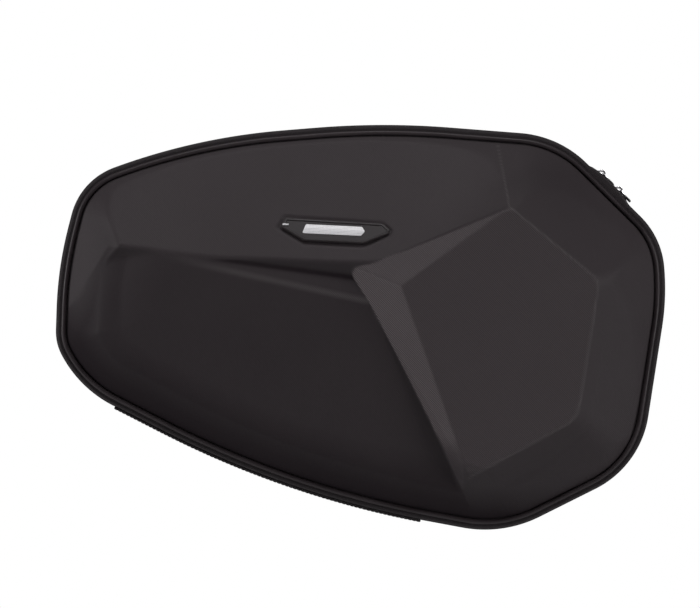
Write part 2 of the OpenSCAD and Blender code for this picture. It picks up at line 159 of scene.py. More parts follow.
def place(p, n, inset, depth):
    """Points in metres in the row frame, from outline points moved inwards and a depth."""
    q = p - np.broadcast_to(inset, p.shape[:-1])[..., None] * n
    return np.stack([q[..., 0], -np.broadcast_to(depth, q.shape[:-1]), q[..., 1]], -1) * MM


# ---- meshes ----

def finish_mesh(obj, sharp=35):
    mesh = obj.data
    mesh.polygons.foreach_set("use_smooth", [True] * len(mesh.polygons))
    mesh.set_sharp_from_angle(angle=math.radians(sharp))
    mesh.update()
    return obj


def new_object(name, vertices, faces, material, sharp=35):
    mesh = bpy.data.meshes.new(name)
    mesh.from_pydata([tuple(map(float, v)) for v in vertices], [], [tuple(map(int, f)) for f in faces])
    obj = bpy.data.objects.new(name, mesh)
    bpy.context.scene.collection.objects.link(obj)
    if material:
        mesh.materials.append(material)
    return finish_mesh(obj, sharp)


def recalc(obj, sharp=35):
    """Turns a closed mesh's faces outwards."""
    b = bmesh.new()
    b.from_mesh(obj.data)
    bmesh.ops.recalc_face_normals(b, faces=b.faces)
    b.to_mesh(obj.data)
    b.free()
    return finish_mesh(obj, sharp)


def grid_mesh(name, points, u, v, material, loop_u=False, loop_v=False, caps=False, end_face=False, sharp=35):
    """A mesh from points[row][column], with u along columns and v along rows, both in metres."""
    rows, cols = points.shape[:2]
    i, j = np.meshgrid(np.arange(cols if loop_u else cols - 1), np.arange(rows if loop_v else rows - 1))
    i, j = i.ravel(), j.ravel()
    i1, j1 = (i + 1) % cols, (j + 1) % rows
    faces = np.stack([j * cols + i, j * cols + i1, j1 * cols + i1, j1 * cols + i], -1)
    uv = np.stack([np.stack([u[i], v[j]], -1), np.stack([u[i + 1], v[j]], -1),
                   np.stack([u[i + 1], v[j + 1]], -1), np.stack([u[i], v[j + 1]], -1)], 1)
    faces, uv = [list(f) for f in faces], uv.reshape(-1, 2)
    if caps:
        for k in (0, cols - 1):
            ring = [r * cols + k for r in range(rows)]
            faces.append(ring if k == 0 else ring[::-1])
            uv = np.vstack([uv, np.zeros((rows, 2))])
    if end_face:
        faces.append([(rows - 1) * cols + k for k in range(cols)])
        uv = np.vstack([uv, np.zeros((cols, 2))])
    obj = new_object(name, points.reshape(-1, 3), faces, material, sharp)
    layer = obj.data.uv_layers.new(name="cloth")
    layer.data.foreach_set("uv", uv.astype(np.float32).ravel())
    return obj


def soften(corners, radius, steps=3):
    """A closed profile whose corners are rounded."""
    out, corners = [], np.array(corners, float)
    for k, c in enumerate(corners):
        p0, p2 = (c + (q - c) / np.linalg.norm(q - c) * min(radius, np.linalg.norm(q - c) * 0.49)
                  for q in (corners[k - 1], corners[(k + 1) % len(corners)]))
        for t in np.linspace(0, 1, steps + 1):
            out.append(p0 * (1 - t) ** 2 + 2 * c * t * (1 - t) + p2 * t ** 2)
    return np.array(out)


def sweep(name, profile, material, span=None, lift=None):
    """A closed profile of (inset, depth) carried round the outline, or along a span of it."""
    whole = span is None
    if whole:
        s, p, n, u = RIM.s[:-1], RIM.p, RIM.n, RIM.s * MM
    else:
        s = np.linspace(span[0], span[1], int((span[1] - span[0]) / RIM_STEP) + 1)
        p, n = RIM.at(s)
        u = s * MM
    rows = [place(p, n, inset - (lift(s, inset, depth) if lift else 0), depth) for inset, depth in profile]
    v = run_lengths(np.vstack([profile, profile[:1]])) * MM
    return recalc(grid_mesh(name, np.array(rows), u, v, material, whole, True, not whole))


def open_span():
    """The stretch of the outline that has a zip: everything but the hinge panel."""
    return HINGE_S + HINGE_HALF, HINGE_S - HINGE_HALF + RIM.length


def circle(radius, sides):
    t = np.linspace(0, 2 * math.pi, sides, endpoint=False)
    return radius * np.stack([np.cos(t), np.sin(t)], -1)


def join(objs, name):
    """One object from several."""
    bpy.ops.object.select_all(action="DESELECT")
    for o in objs:
        o.select_set(True)
    bpy.context.view_layer.objects.active = objs[0]
    bpy.ops.object.join()
    objs[0].name = name
    objs[0].data.name = name
    return objs[0]


def rows_of(name, centres, along, out, size, material, rings=(0.55, 1.0, 0.55), sides=6):
    """Many small rounded bars in one mesh, as for stitches and teeth. size is length, width and height in
    millimetres, and rings are the shares of the width and height along a bar."""
    centres, along, out = (np.asarray(a, float) for a in (centres, along, out))
    across = np.cross(along, out)
    length, width, height = (a * MM for a in size)
    t = np.linspace(0, 2 * math.pi, sides, endpoint=False) + math.pi / sides
    local = np.array([(x * length, w * math.cos(a) * width / 2, w * math.sin(a) * height / 2)
                      for x, w in zip(np.linspace(-0.5, 0.5, len(rings)), rings) for a in t])
    points = (centres[:, None] + local[None, :, :1] * along[:, None] + local[None, :, 1:2] * across[:, None]
              + local[None, :, 2:3] * out[:, None])
    m = len(local)
    faces = [(r + k, r + (k + 1) % sides, r + sides + (k + 1) % sides, r + sides + k)
             for r in range(0, m - sides, sides) for k in range(sides)]
    faces += [tuple(range(sides))[::-1], tuple(range(m - sides, m))]
    every = [tuple(i + c * m for i in f) for c in range(len(centres)) for f in faces]
    return recalc(new_object(name, points.reshape(-1, 3), every, material, 50), 50)


def along_and_out(n):
    """Directions along the outline and out of it, from its normals."""
    none = np.zeros(len(n))
    return np.stack([n[:, 1], none, -n[:, 0]], -1), np.stack([n[:, 0], none, n[:, 1]], -1)


STITCH_PITCH = 3.4
LINE_PITCH = 3.0


def stitches(name, inset, depth, span=None, lift=0.15):
    """A row of stitches on a surface that runs round the outline."""
    start, end = span or (0, RIM.length)
    count = int((end - start) / STITCH_PITCH)
    p, n = RIM.at(start + (np.arange(count) + 0.5) * (end - start) / count)
    return rows_of(name, place(p, n, inset - lift, depth), *along_and_out(n), (2.5, 0.55, 0.5), THREAD)


def line_stitches(name, start, end, out):
    """A straight row of stitches between two points."""
    start, end, out = (np.array(a, float) for a in (start, end, out))
    run = np.linalg.norm(end - start)
    count = max(2, int(run / (LINE_PITCH * MM)))
    centres = start + np.outer((np.arange(count) + 0.5) / count, end - start)
    along, up = (np.tile(a, (count, 1)) for a in ((end - start) / run, out / np.linalg.norm(out)))
    return rows_of(name, centres, along, up, (2.2, 0.5, 0.45), THREAD)


def applied(obj, kind, **values):
    """Gives an object's mesh a modifier with these values, and applies it."""
    modifier = obj.modifiers.new(kind.lower(), kind)
    for key, value in values.items():
        setattr(modifier, key, value)
    bpy.context.view_layer.objects.active = obj
    bpy.ops.object.modifier_apply(modifier=modifier.name)
    return obj


def solidify(obj, thickness):
    """Gives a sheet a thickness, behind the side that its faces look to."""
    return applied(obj, "SOLIDIFY", thickness=thickness, offset=-1.0)


def shown(obj, body, *nodes, slot=None):
    """Puts a piece on a body, in the place of CAD nodes. The slot argument is not used."""
    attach(obj, body)
    if nodes:
        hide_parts(*nodes)
    return obj


# ---- materials ----

class Nodes:
    """Short forms for building a material's nodes."""

    def __init__(self, name):
        self.material = bpy.data.materials.new(name)
        self.material.use_nodes = True
        self.tree = self.material.node_tree
        self.shader = self.tree.nodes["Principled BSDF"]

    def add(self, kind, **values):
        node = self.tree.nodes.new(kind)
        for key, value in values.items():
            setattr(node, key, value)
        return node

    def link(self, a, b):
        self.tree.links.new(a, b)

    def math(self, operation, a, b=None):
        node = self.add("ShaderNodeMath", operation=operation)
        for k, value in enumerate((a, b)):
            if value is None:
                continue
            if isinstance(value, (int, float)):
                node.inputs[k].default_value = value
            else:
                self.link(value, node.inputs[k])
        return node.outputs[0]

    def mix(self, factor, a, b):
        node = self.add("ShaderNodeMix", data_type="RGBA")
        for socket, value in ((node.inputs[0], factor), (node.inputs[6], a), (node.inputs[7], b)):
            if isinstance(value, (int, float)):
                socket.default_value = value
            elif isinstance(value, tuple):
                socket.default_value = (*value, 1)
            else:
                self.link(value, socket)
        return node.outputs[2]

    def span(self, value, low, high, to_low, to_high):
        node = self.add("ShaderNodeMapRange")
        self.link(value, node.inputs[0])
        for k, x in enumerate((low, high, to_low, to_high)):
            node.inputs[k + 1].default_value = x
        return node.outputs[0]

    def coordinates(self, cloth=True):
        if cloth:
            return self.add("ShaderNodeUVMap", uv_map="cloth").outputs[0]
        return self.add("ShaderNodeTexCoord").outputs["Object"]

    def split(self, vector):
        node = self.add("ShaderNodeSeparateXYZ")
        self.link(vector, node.inputs[0])
        return node.outputs

    def noise(self, vector, scale, detail):
        node = self.add("ShaderNodeTexNoise")
        node.inputs["Scale"].default_value = scale
        node.inputs["Detail"].default_value = detail
        node.inputs["Roughness"].default_value = 0.55
        self.link(vector, node.inputs["Vector"])
        return node.outputs[0]

    def cells(self, vector, scale, randomness):
        """Distance to the edges of cells."""
        node = self.add("ShaderNodeTexVoronoi", feature="DISTANCE_TO_EDGE")
        node.inputs["Scale"].default_value = scale
        node.inputs["Randomness"].default_value = randomness
        self.link(vector, node.inputs["Vector"])
        return node.outputs[0]

    def bump(self, height, distance, strength, below=None):
        node = self.add("ShaderNodeBump")
        node.inputs["Strength"].default_value = strength
        node.inputs["Distance"].default_value = distance
        self.link(height, node.inputs["Height"])
        if below is not None:
            self.link(below, node.inputs["Normal"])
        return node.outputs[0]

    def wave(self, x, pitch):
        """A sine of a coordinate in metres, from 0 to 1."""
        sine = self.math("SINE", self.math("MULTIPLY", x, 2 * math.pi / pitch))
        return self.math("ADD", self.math("MULTIPLY", sine, 0.5), 0.5)

    SOCKETS = {"base": "Base Color", "rough": "Roughness", "metal": "Metallic", "spec": "Specular IOR Level",
               "sheen": "Sheen Weight", "sheen_rough": "Sheen Roughness", "coat": "Coat Weight",
               "coat_rough": "Coat Roughness", "normal": "Normal"}

    def set(self, **values):
        """Sets or links the shader's sockets, and gives the material."""
        for key, value in values.items():
            socket = self.shader.inputs[self.SOCKETS[key]]
            if isinstance(value, tuple):
                socket.default_value = (*value, 1)
            elif isinstance(value, (int, float)):
                socket.default_value = value
            else:
                self.link(value, socket)
        return self.material


def twill(m, vector, pitch):
    """A diagonal twill's height: fine ribs at a slant, broken up where the yarns cross."""
    x, y, _ = m.split(vector)
    rib = m.wave(m.math("ADD", x, y), pitch)
    cross = m.wave(m.math("SUBTRACT", x, m.math("MULTIPLY", y, 0.55)), pitch * 0.72)
    return m.math("MULTIPLY", rib, m.math("ADD", m.math("MULTIPLY", cross, 0.55), 0.45))


def plain_weave(m, vector, pitch):
    """A plain weave's height: a small chequer of over and under yarns."""
    x, y, _ = m.split(vector)
    a, b = m.wave(x, pitch), m.wave(y, pitch)
    return m.math("ABSOLUTE", m.math("SUBTRACT", a, b))


def cloth_material(name, dark, light, pitch, rough=0.8, bump=0.12, weave=plain_weave):
    """Woven cloth: yarns lighter than the gaps, with slow changes of tone and a little lint."""
    m = Nodes(name)
    vector = m.coordinates()
    height = weave(m, vector, pitch)
    patches = m.noise(vector, 28, 4)
    colour = m.mix(height, dark, light)
    colour = m.mix(m.span(patches, 0.35, 0.75, 0, 0.25), colour, tuple(c * 1.5 for c in light))
    roughness = m.span(patches, 0.3, 0.7, rough - 0.06, rough + 0.06)
    return m.set(base=colour, rough=roughness, spec=0.35, sheen=0.12, sheen_rough=0.5,
                 normal=m.bump(height, bump * MM, 0.7, m.bump(patches, 0.4 * MM, 0.25)))


def shell_material():
    """The moulded lid's cover: a fine diagonal weave, crisper on the raised panel, with painted highlight on
    the panel and more on its bevels, painted highlight lines on its sharp edges and painted shade on its
    lower facet and bottom rim. It reads the marks that lid_height gives."""
    m = Nodes("shell_fabric")
    vector = m.coordinates()
    # The marks: painted highlight on the raised panel and its bevels, painted highlight lines on its edges,
    # painted shade low on the lid.
    panel, edge, low = (m.add("ShaderNodeAttribute", attribute_name=name).outputs["Fac"]
                        for name in ("panel", "edge", "low"))
    height = twill(m, vector, 1.75 * MM)
    slow, fine = m.noise(vector, 9, 3), m.noise(vector, 700, 2)
    # On the raised panel the gaps are darker and the yarn much lighter: painted highlight where light would
    # catch the weave.
    gap = m.mix(panel, (0.0262, 0.0204, 0.0230), (0.0205, 0.0160, 0.0180))
    yarn = m.mix(panel, (0.0320, 0.0254, 0.0284), (0.0860, 0.0720, 0.0765))
    # Above 1 the mark is on the bevels: lighter still, a painted highlight that is strongest on the
    # left-facing bevel.
    slant = m.math("SUBTRACT", panel, 1.0)
    yarn = m.mix(m.span(slant, 0.0, 1.3, 0.0, 1.0), yarn, (0.190, 0.166, 0.172))
    colour = m.mix(height, gap, yarn)
    # Painted shade on the lower facet, in its groove and along the bottom rim.
    colour = m.mix(m.math("MULTIPLY", low, 0.42), colour, (0.0125, 0.0088, 0.0112))
    # Painted highlight lines along the panel's sharp edges and the groove's lip, strongest on the yarn tops.
    edge_highlight = m.math("MULTIPLY", edge, m.math("ADD", m.math("MULTIPLY", height, 0.5), 0.2))
    colour = m.mix(edge_highlight, colour, (0.105, 0.098, 0.098))
    colour = m.mix(m.span(slow, 0.35, 0.7, 0, 0.15), colour, (0.038, 0.033, 0.033))
    roughness = m.span(m.math("ADD", m.math("MULTIPLY", slow, 0.5), m.math("MULTIPLY", fine, 0.5)),
                       0.3, 0.7, 0.56, 0.70)
    normal = m.add("ShaderNodeBump")
    normal.inputs["Distance"].default_value = 0.18 * MM
    m.link(m.span(panel, 0.0, 1.0, 0.22, 0.82), normal.inputs["Strength"])
    m.link(height, normal.inputs["Height"])
    return m.set(base=colour, rough=roughness, spec=m.span(low, 0.9, 2.0, 0.38, 0.10), sheen=0.03,
                 sheen_rough=0.45, normal=normal.outputs[0])


def rubber_material(name, colour, rough, grain=900, bump=0.05):
    """Rubber or plastic with a fine grain and slow changes of tone."""
    m = Nodes(name)
    vector = m.coordinates(False)
    fine, slow = m.noise(vector, grain, 2), m.noise(vector, 25, 3)
    tint = m.mix(m.span(slow, 0.35, 0.7, 0, 0.5), colour, tuple(c * 1.7 + 0.004 for c in colour))
    return m.set(base=tint, rough=m.span(slow, 0.3, 0.7, rough - 0.08, rough + 0.08), spec=0.4,
                 normal=m.bump(fine, bump * MM, 0.6))


def metal_material(name, colour, rough, metal=1.0, coat=0.0):
    """Bright or coated metal, duller and darker in patches."""
    m = Nodes(name)
    vector = m.coordinates(False)
    slow, fine = m.noise(vector, 60, 4), m.noise(vector, 1400, 2)
    worn = m.mix(m.span(slow, 0.45, 0.75, 0, 0.35), colour, tuple(c * 0.6 for c in colour))
    return m.set(base=worn, rough=m.span(slow, 0.3, 0.75, rough, rough + 0.16), metal=metal, spec=0.5,
                 coat=coat, coat_rough=0.2, normal=m.bump(fine, 0.01 * MM, 0.4))


def ribbed_material(name, dark, light, rib=1.6, bump=0.22):
    """Webbing: ribs along u, small steps along each rib."""
    m = Nodes(name)
    x, y, _ = m.split(m.coordinates())
    ribs = m.wave(y, rib * MM)
    steps = m.wave(m.math("ADD", x, m.math("MULTIPLY", y, 0.5)), rib * MM * 0.8)
    height = m.math("ADD", m.math("MULTIPLY", ribs, 0.7), m.math("MULTIPLY", steps, 0.3))
    patches = m.span(m.noise(m.coordinates(), 30, 3), 0.35, 0.75, 0, 0.3)
    colour = m.mix(patches, m.mix(height, dark, light), tuple(c * 1.6 for c in light))
    return m.set(base=colour, rough=0.72, spec=0.35, sheen=0.1, normal=m.bump(height, bump * MM, 0.8))


def reflector_material():
    """Retroreflective film: pale, with a fine honeycomb printed in it."""
    m = Nodes("reflector")
    line = m.span(m.cells(m.coordinates(False), 900, 0.15), 0.0, 0.12, 0.0, 1.0)
    colour = m.mix(line, (0.62, 0.63, 0.65), (0.86, 0.87, 0.88))
    return m.set(base=colour, rough=0.32, spec=0.5, coat=0.4, coat_rough=0.15,
                 normal=m.bump(line, 0.02 * MM, 0.4))


def mesh_material():
    """Knitted mesh: pale-edged dark holes in a hexagonal net."""
    m = Nodes("mesh")
    yarn = m.span(m.cells(m.coordinates(), 420, 0.1), 0.10, 0.22, 1.0, 0.0)
    return m.set(base=m.mix(yarn, (0.004, 0.004, 0.005), (0.040, 0.040, 0.043)), rough=0.75, spec=0.3,
                 normal=m.bump(yarn, 0.35 * MM, 0.9))


SHELL = shell_material()
CASE = cloth_material("case_fabric", (0.0088, 0.0066, 0.0076), (0.0235, 0.0182, 0.0205), 1.5 * MM)
BELLOWS = cloth_material("bellows_fabric", (0.009, 0.0085, 0.009), (0.024, 0.023, 0.024), 0.9 * MM, rough=0.7)
LINING = cloth_material("lining", (0.030, 0.030, 0.032), (0.060, 0.060, 0.064), 0.8 * MM, 0.6, 0.06)
BINDING = cloth_material("binding", (0.0070, 0.0052, 0.0062), (0.0185, 0.0145, 0.0165), 0.9 * MM, bump=0.1)
TAPE = cloth_material("zip_tape", (0.0066, 0.0056, 0.0062), (0.0185, 0.0155, 0.0172), 0.8 * MM, weave=twill)
HOOKS = cloth_material("hook_tape", (0.003, 0.003, 0.003), (0.018, 0.018, 0.018), 1.2 * MM, 0.9, 0.5)
WEBBING = ribbed_material("webbing", (0.006, 0.006, 0.006), (0.020, 0.019, 0.020))
ELASTIC = ribbed_material("elastic", (0.008, 0.008, 0.008), (0.024, 0.023, 0.024), rib=1.1, bump=0.12)
THREAD = cloth_material("thread", (0.012, 0.011, 0.012), (0.030, 0.028, 0.029), 0.4 * MM, bump=0.05)
PIPING = rubber_material("piping", (0.0215, 0.0165, 0.0185), rough=0.46, grain=1500, bump=0.03)
GRIP = rubber_material("grip_rubber", (0.014, 0.013, 0.013), rough=0.62, grain=700, bump=0.08)
BADGE = rubber_material("badge_rubber", (0.0125, 0.0095, 0.0105), rough=0.42, grain=1200, bump=0.03)
CHAIN = rubber_material("chain_plastic", (0.013, 0.0125, 0.013), rough=0.38, grain=1200, bump=0.01)
BOARD = rubber_material("board", (0.02, 0.02, 0.02), rough=0.6)
STEEL = metal_material("steel", (0.46, 0.46, 0.47), 0.26)
CHROME = metal_material("slider_metal", (0.72, 0.72, 0.73), 0.12)
PULLER = metal_material("puller_metal", (0.035, 0.035, 0.036), 0.34, metal=0.2, coat=0.3)
REFLECTOR = reflector_material()
MESH = mesh_material()

# ---- camera, lights and floor ----

SCALE = 0.8 * MM          # metres across one pixel of a 700-pixel frame, at the lid's rim
FRAME_PIXELS = 700
DISTANCE = 3.0
CENTRE = Vector((-0.0084, -RIM_Z * MM, 0.0188))


def camera():
    data = bpy.data.cameras.new("camera")
    data.lens = data.sensor_width * DISTANCE / (SCALE * FRAME_PIXELS)
    data.clip_start, data.clip_end = 0.1, 60
    obj = bpy.data.objects.new("camera", data)
    obj.location = CENTRE - Vector((0, DISTANCE, 0))
    obj.rotation_euler = (math.radians(90), 0, 0)
    bpy.context.scene.collection.objects.link(obj)
    bpy.context.scene.camera = obj


LIGHT_COLOUR = (1.0, 0.972, 0.988)
# Name, place, what it faces, size and power.
LIGHTS = (("top", (0.0, -1.35, 2.3), (0, -0.1, 0), (2.4, 1.2), 33),
          ("left", (-2.4, -0.85, 0.3), (0, -0.1, 0), (1.1, 1.3), 28),
          ("right", (2.3, -1.35, 0.2), (0, -0.1, 0), (1.1, 1.2), 24),
          ("back", (0.3, 2.6, 0.5), (0, 0, 0), (2.2, 1.2), 60))


def area_light(name, location, target, size, power):
    data = bpy.data.lights.new(name, "AREA")
    data.shape, data.size, data.size_y = "RECTANGLE", size[0], size[1]
    data.energy, data.color = power, LIGHT_COLOUR
    obj = bpy.data.objects.new(name, data)
    obj.location = location
    obj.rotation_euler = (Vector(target) - Vector(location)).to_track_quat("-Z", "Y").to_euler()
    bpy.context.scene.collection.objects.link(obj)


AMBIENT = 0.012


def world():
    """A pale studio: a little soft light from all round, and a white backdrop for the camera only."""
    w = bpy.data.worlds.new("studio")
    bpy.context.scene.world = w
    w.use_nodes = True
    tree = w.node_tree
    background, white = tree.nodes["Background"], tree.nodes.new("ShaderNodeBackground")
    for node, strength in ((background, AMBIENT), (white, 1.0)):
        node.inputs["Color"].default_value = (1, 1, 1, 1)
        node.inputs["Strength"].default_value = strength
    rays = tree.nodes.new("ShaderNodeLightPath")
    mix = tree.nodes.new("ShaderNodeMixShader")
    tree.links.new(rays.outputs["Is Camera Ray"], mix.inputs[0])
    tree.links.new(background.outputs[0], mix.inputs[1])
    tree.links.new(white.outputs[0], mix.inputs[2])
    tree.links.new(mix.outputs[0], tree.nodes["World Output"].inputs[0])


FLOOR_Z = -0.50
FLOOR_SIZE = 40.0
FADE_START, FADE_END = 0.9, 3.1   # how far from the bag the floor turns white


def floor():
    """A pale floor, far enough down for the lid to hang open above it, that turns white like the backdrop."""
    m = Nodes("floor")
    vector = m.coordinates(False)
    x, y, _ = m.split(vector)
    away = m.math("SQRT", m.math("ADD", m.math("MULTIPLY", x, x), m.math("MULTIPLY", y, y)))
    fade = m.span(away, FADE_START, FADE_END, 0.0, 1.0)
    grain = m.span(m.noise(vector, 35, 3), 0.3, 0.7, 0.60, 0.64)
    grey = m.math("MULTIPLY", grain, m.math("SUBTRACT", 1.0, fade))
    colour = m.add("ShaderNodeCombineColor")
    for k in range(3):
        m.link(grey, colour.inputs[k])
    m.set(base=colour.outputs[0], rough=0.9, spec=0.0)
    m.shader.inputs["Emission Color"].default_value = (1, 1, 1, 1)
    seen = m.add("ShaderNodeLightPath").outputs["Is Camera Ray"]
    m.link(m.math("MULTIPLY", fade, seen), m.shader.inputs["Emission Strength"])
    half = FLOOR_SIZE / 2
    corners = [(-half, -half, FLOOR_Z), (half, -half, FLOOR_Z), (half, half, FLOOR_Z), (-half, half, FLOOR_Z)]
    new_object("floor", corners, [(0, 1, 2, 3)], m.material)


camera()
world()
for light in LIGHTS:
    area_light(*light)
floor()
bpy.context.scene.view_settings.view_transform = "Standard"

# ---- the lid's moulded form ----
# Heights are above the rim, in millimetres, at (x, z) points of the bag's face.

def plane_height(points, x, z):
    """Height, at x and z, of the plane through three points."""
    a, b, c = (np.array(q, float) for q in points)
    n = np.cross(b - a, c - a)
    return a[2] - (n[0] * (x - a[0]) + n[1] * (z - a[1])) / n[2]


PLATEAU = ((32, 33, 60), (117, 95, 57), (86, -118, 44))
PLATEAU_RIGHT = (188, 37, float(plane_height(PLATEAU, 188, 37)))
PLATEAU_LOW = (171, -72, float(plane_height(PLATEAU, 171, -72)))
LEFT_CORNER = (-200, 66, 38)
RIDGE_END = (9, 51, 46)
GROOVE_END = (21, 36, 38)
LIP_END = (6, 21, 41)
LOWER_END = (80, -117, 33)
BLOCK = (RIDGE_END, PLATEAU[1], PLATEAU_RIGHT, PLATEAU_LOW, PLATEAU[2], LIP_END)
RIM_H = 4.0
FACETS = {
    "step": (LEFT_CORNER, RIDGE_END, GROOVE_END),
    "lip": (LEFT_CORNER, GROOVE_END, LIP_END),
    "lower": (LEFT_CORNER, LIP_END, LOWER_END),
    "left": (LEFT_CORNER, (-221, -6, 28), (-233, 30, RIM_H)),
    "bevel_up": (RIDGE_END, PLATEAU[1], PLATEAU[0]),
    "bevel_left": (LIP_END, PLATEAU[0], PLATEAU[2]),
    "bevel_low": (LIP_END, PLATEAU[2], LOWER_END),
    "bottom": (PLATEAU[2], (60, -150, RIM_H), (105, -153, RIM_H)),
    "right_up": (PLATEAU[1], PLATEAU_RIGHT, (197, 104, RIM_H)),
    "right": (PLATEAU_RIGHT, PLATEAU_LOW, (229, -20, RIM_H)),
    "right_down": (PLATEAU_LOW, PLATEAU[2], (162, -133, RIM_H)),
}


def share(value):
    """A value kept between 0 and 1."""
    return np.clip(value, 0, 1)


def smooth_min(a, b, k):
    """The lower of two heights, blended over a difference of k."""
    h = share(0.5 + 0.5 * (b - a) / k)
    return b * (1 - h) + a * h - k * h * (1 - h)


def smooth_max(a, b, k):
    return -smooth_min(-a, -b, k)


RIDGE = [(-240, 69, 36), LEFT_CORNER, RIDGE_END, PLATEAU[1], (180, 121, 63)]
TOP = RIM.p[RIM.n[:, 1] > 0.3] - SHELL_INSET * RIM.n[RIM.n[:, 1] > 0.3]


def ridge_z(x):
    return np.interp(x, [r[0] for r in RIDGE], [r[1] for r in RIDGE])


def upper(x, z):
    """The upper facet: it rises from the top rim to the ridge, steepest at its two ends."""
    slope = (0.405 + 0.555 * np.clip((x + 40) / 157, 0, 1.15) ** 3
             + 0.25 * np.clip((-100 - x) / 100, 0, 1.3) ** 2)
    rim = np.maximum(np.interp(x, TOP[:, 0], TOP[:, 1]), ridge_z(x) + 12)
    return RIM_H + slope * (rim - z)


DENSE = Rim(2.0)
BATCH = 4000


def inset_of(x, z):
    """How far points lie inside the outline."""
    out = np.empty(x.size)
    q = np.stack([x.ravel(), z.ravel()], -1)
    for k in range(0, len(q), BATCH):
        gap = q[k:k + BATCH, None] - DENSE.p[None]
        near = np.argmin((gap ** 2).sum(-1), 1)
        out[k:k + BATCH] = -(gap[np.arange(len(gap)), near] * DENSE.n[near]).sum(-1)
    return out.reshape(x.shape)


BADGE_AT = (-21, 76)
BADGE_TURN = math.radians(-3)
BADGE_SHAPE = [(-43, 1, 2.5), (-39, 9, 3), (38, 8, 3), (44, 3, 2), (43, -1, 2), (24, -10, 4), (-23, -10, 4)]
INLAY_SHAPE = [(-25, -3.4, 1), (-22.6, 4.4, 1.4), (22, 4.4, 1.4), (24.6, 0.6, 1.4), (21.6, -3.4, 1.4)]


def polygon_distance(x, z, corners):
    """Distance to a clockwise convex polygon, positive outside."""
    far = np.full(np.shape(x), -1e9)
    for k, (ax, az, _) in enumerate(corners):
        bx, bz, _ = corners[(k + 1) % len(corners)]
        length = math.hypot(bx - ax, bz - az)
        far = np.maximum(far, (-(bz - az) * (x - ax) + (bx - ax) * (z - az)) / length)
    return far


def across_badge(x, z):
    """Coordinates in the badge's own turned frame."""
    c, s = math.cos(-BADGE_TURN), math.sin(-BADGE_TURN)
    dx, dz = x - BADGE_AT[0], z - BADGE_AT[1]
    return c * dx - s * dz, s * dx + c * dz


BOTTOM_WALL_W = 44
BOTTOM_WALL_H = 31
FILLET_R = 4.0
MARK = 0.8            # the difference in height over which a mark fades
LOW_Z = -108          # below this the raised block's lower end is rounder
BADGE_DENT = 1.0
BADGE_DENT_W = 2.4


def lid_height(x, z, inset, detail=True):
    """Height of the lid, and marks for its cover's colour: painted highlight on its raised panel and bevels,
    painted highlight lines on its sharp edges, and painted shade on its lower facet and bottom rim.
    """
    f = {name: plane_height(points, x, z) for name, points in FACETS.items()}
    plateau = plane_height(PLATEAU, x, z)
    inwards = inset - SHELL_INSET

    # The lower facet, the groove above it, the right-hand facets and the upper facet.
    drop = np.clip(ridge_z(x) - 30 - z, 0, None) / 100
    t = share(inwards / BOTTOM_WALL_W)
    wall = 2 + BOTTOM_WALL_H * (1 - (1 - t) ** 2) + np.clip(inwards - BOTTOM_WALL_W, 0, None) * 0.3
    lower = smooth_min(f["lower"] - 3.0 * drop ** 2, wall, 6)
    ditch = smooth_max(f["step"], smooth_min(f["lip"], lower, 1.2), 1.6)
    walls = smooth_min(smooth_min(f["right_up"], f["right"], 5), f["right_down"], 6)
    top = upper(x, z)
    base = smooth_min(smooth_min(top, walls, 10), ditch, 1.6)
    base = base - 5 * np.clip(-polygon_distance(x, z, BLOCK), 0, None)

    # The raised block over them.
    block = smooth_min(f["bevel_up"], f["bevel_left"], 1.6)
    block = smooth_min(smooth_min(plateau, block, 0.9), f["bevel_low"], 1.5)
    above = top + 3 * np.clip(ridge_z(x) - z, 0, None)
    softer = 6 * share((LOW_Z - z) / 14)
    edge_wall = smooth_min(walls, f["bottom"], 7)
    raised = smooth_min(smooth_min(block, above, 1.2), edge_wall, 0.9 + softer)
    h = smooth_min(smooth_max(base, raised, 1.2 + softer), f["left"], 3.5)

    # The marks that the cover's material reads: painted highlight and painted shade.
    # Painted highlight on the raised panel; on the bevels it rises above 1, most on the left-facing one, as
    # light from the left and above falls.
    panel = share((raised - base) / MARK) * share(1.2 - np.abs(block - h) / MARK)
    slant = share((plateau - block) / MARK)
    leftward = share((f["bevel_up"] - f["bevel_left"]) / MARK)
    fading = share((z + 116) / 30)
    panel = panel * (1 - slant * (1 - fading)) * (1 + slant * fading * (0.35 + 0.95 * leftward))
    # Painted highlight lines along the panel's sharp edges and along the groove's lip.
    rim_highlight_line = share(1 - np.abs(block - walls) / MARK) * (block - base > -0.5) * share((z + 121) / 3)
    lip_highlight_line = (share(1.2 - np.abs(f["lip"] - lower) / MARK) * (x < 6) * (x > -150) * (f["lip"] > f["step"]))
    edge = np.maximum(rim_highlight_line, 0.8 * lip_highlight_line * share((x + 150) / 50))
    # Painted shade on the lower facet, deepest in the groove's crease, and along the bottom rim under it
    # (under).
    groove_shade = np.exp(-((f["step"] - f["lip"]) / 1.7) ** 2) * share((x + 160) / 60)
    lower_facet_shade = (share((top - ditch) / 2.5) * (1 - share((raised - base + 0.6) / MARK))
                  * share((f["left"] - base) / 3) * (1 + 1.2 * groove_shade) * share((walls - ditch) / 4))
    under = ((1 - share(inwards / 46)) * share((200 - x) / 90) * share((top - lower) / 6)
             * share((f["left"] - lower) / 8) * (1 - share(panel)))
    low = lower_facet_shade + under * (2.3 - share(lower_facet_shade))

    if detail:
        near = polygon_distance(*across_badge(x, z), BADGE_SHAPE)
        h = h - BADGE_DENT * share(1 - np.abs(near - 0.2) / BADGE_DENT_W)
    t = inwards / FILLET_R
    turn = 1 - math.sqrt(0.5)
    rounded = np.sqrt(share(1 - (1 - t) ** 2))
    fillet = np.where(t < turn, rounded, math.sqrt(0.5) + (t - turn)) * FILLET_R
    return smooth_min(h, fillet, 0.8), (panel, edge, low)


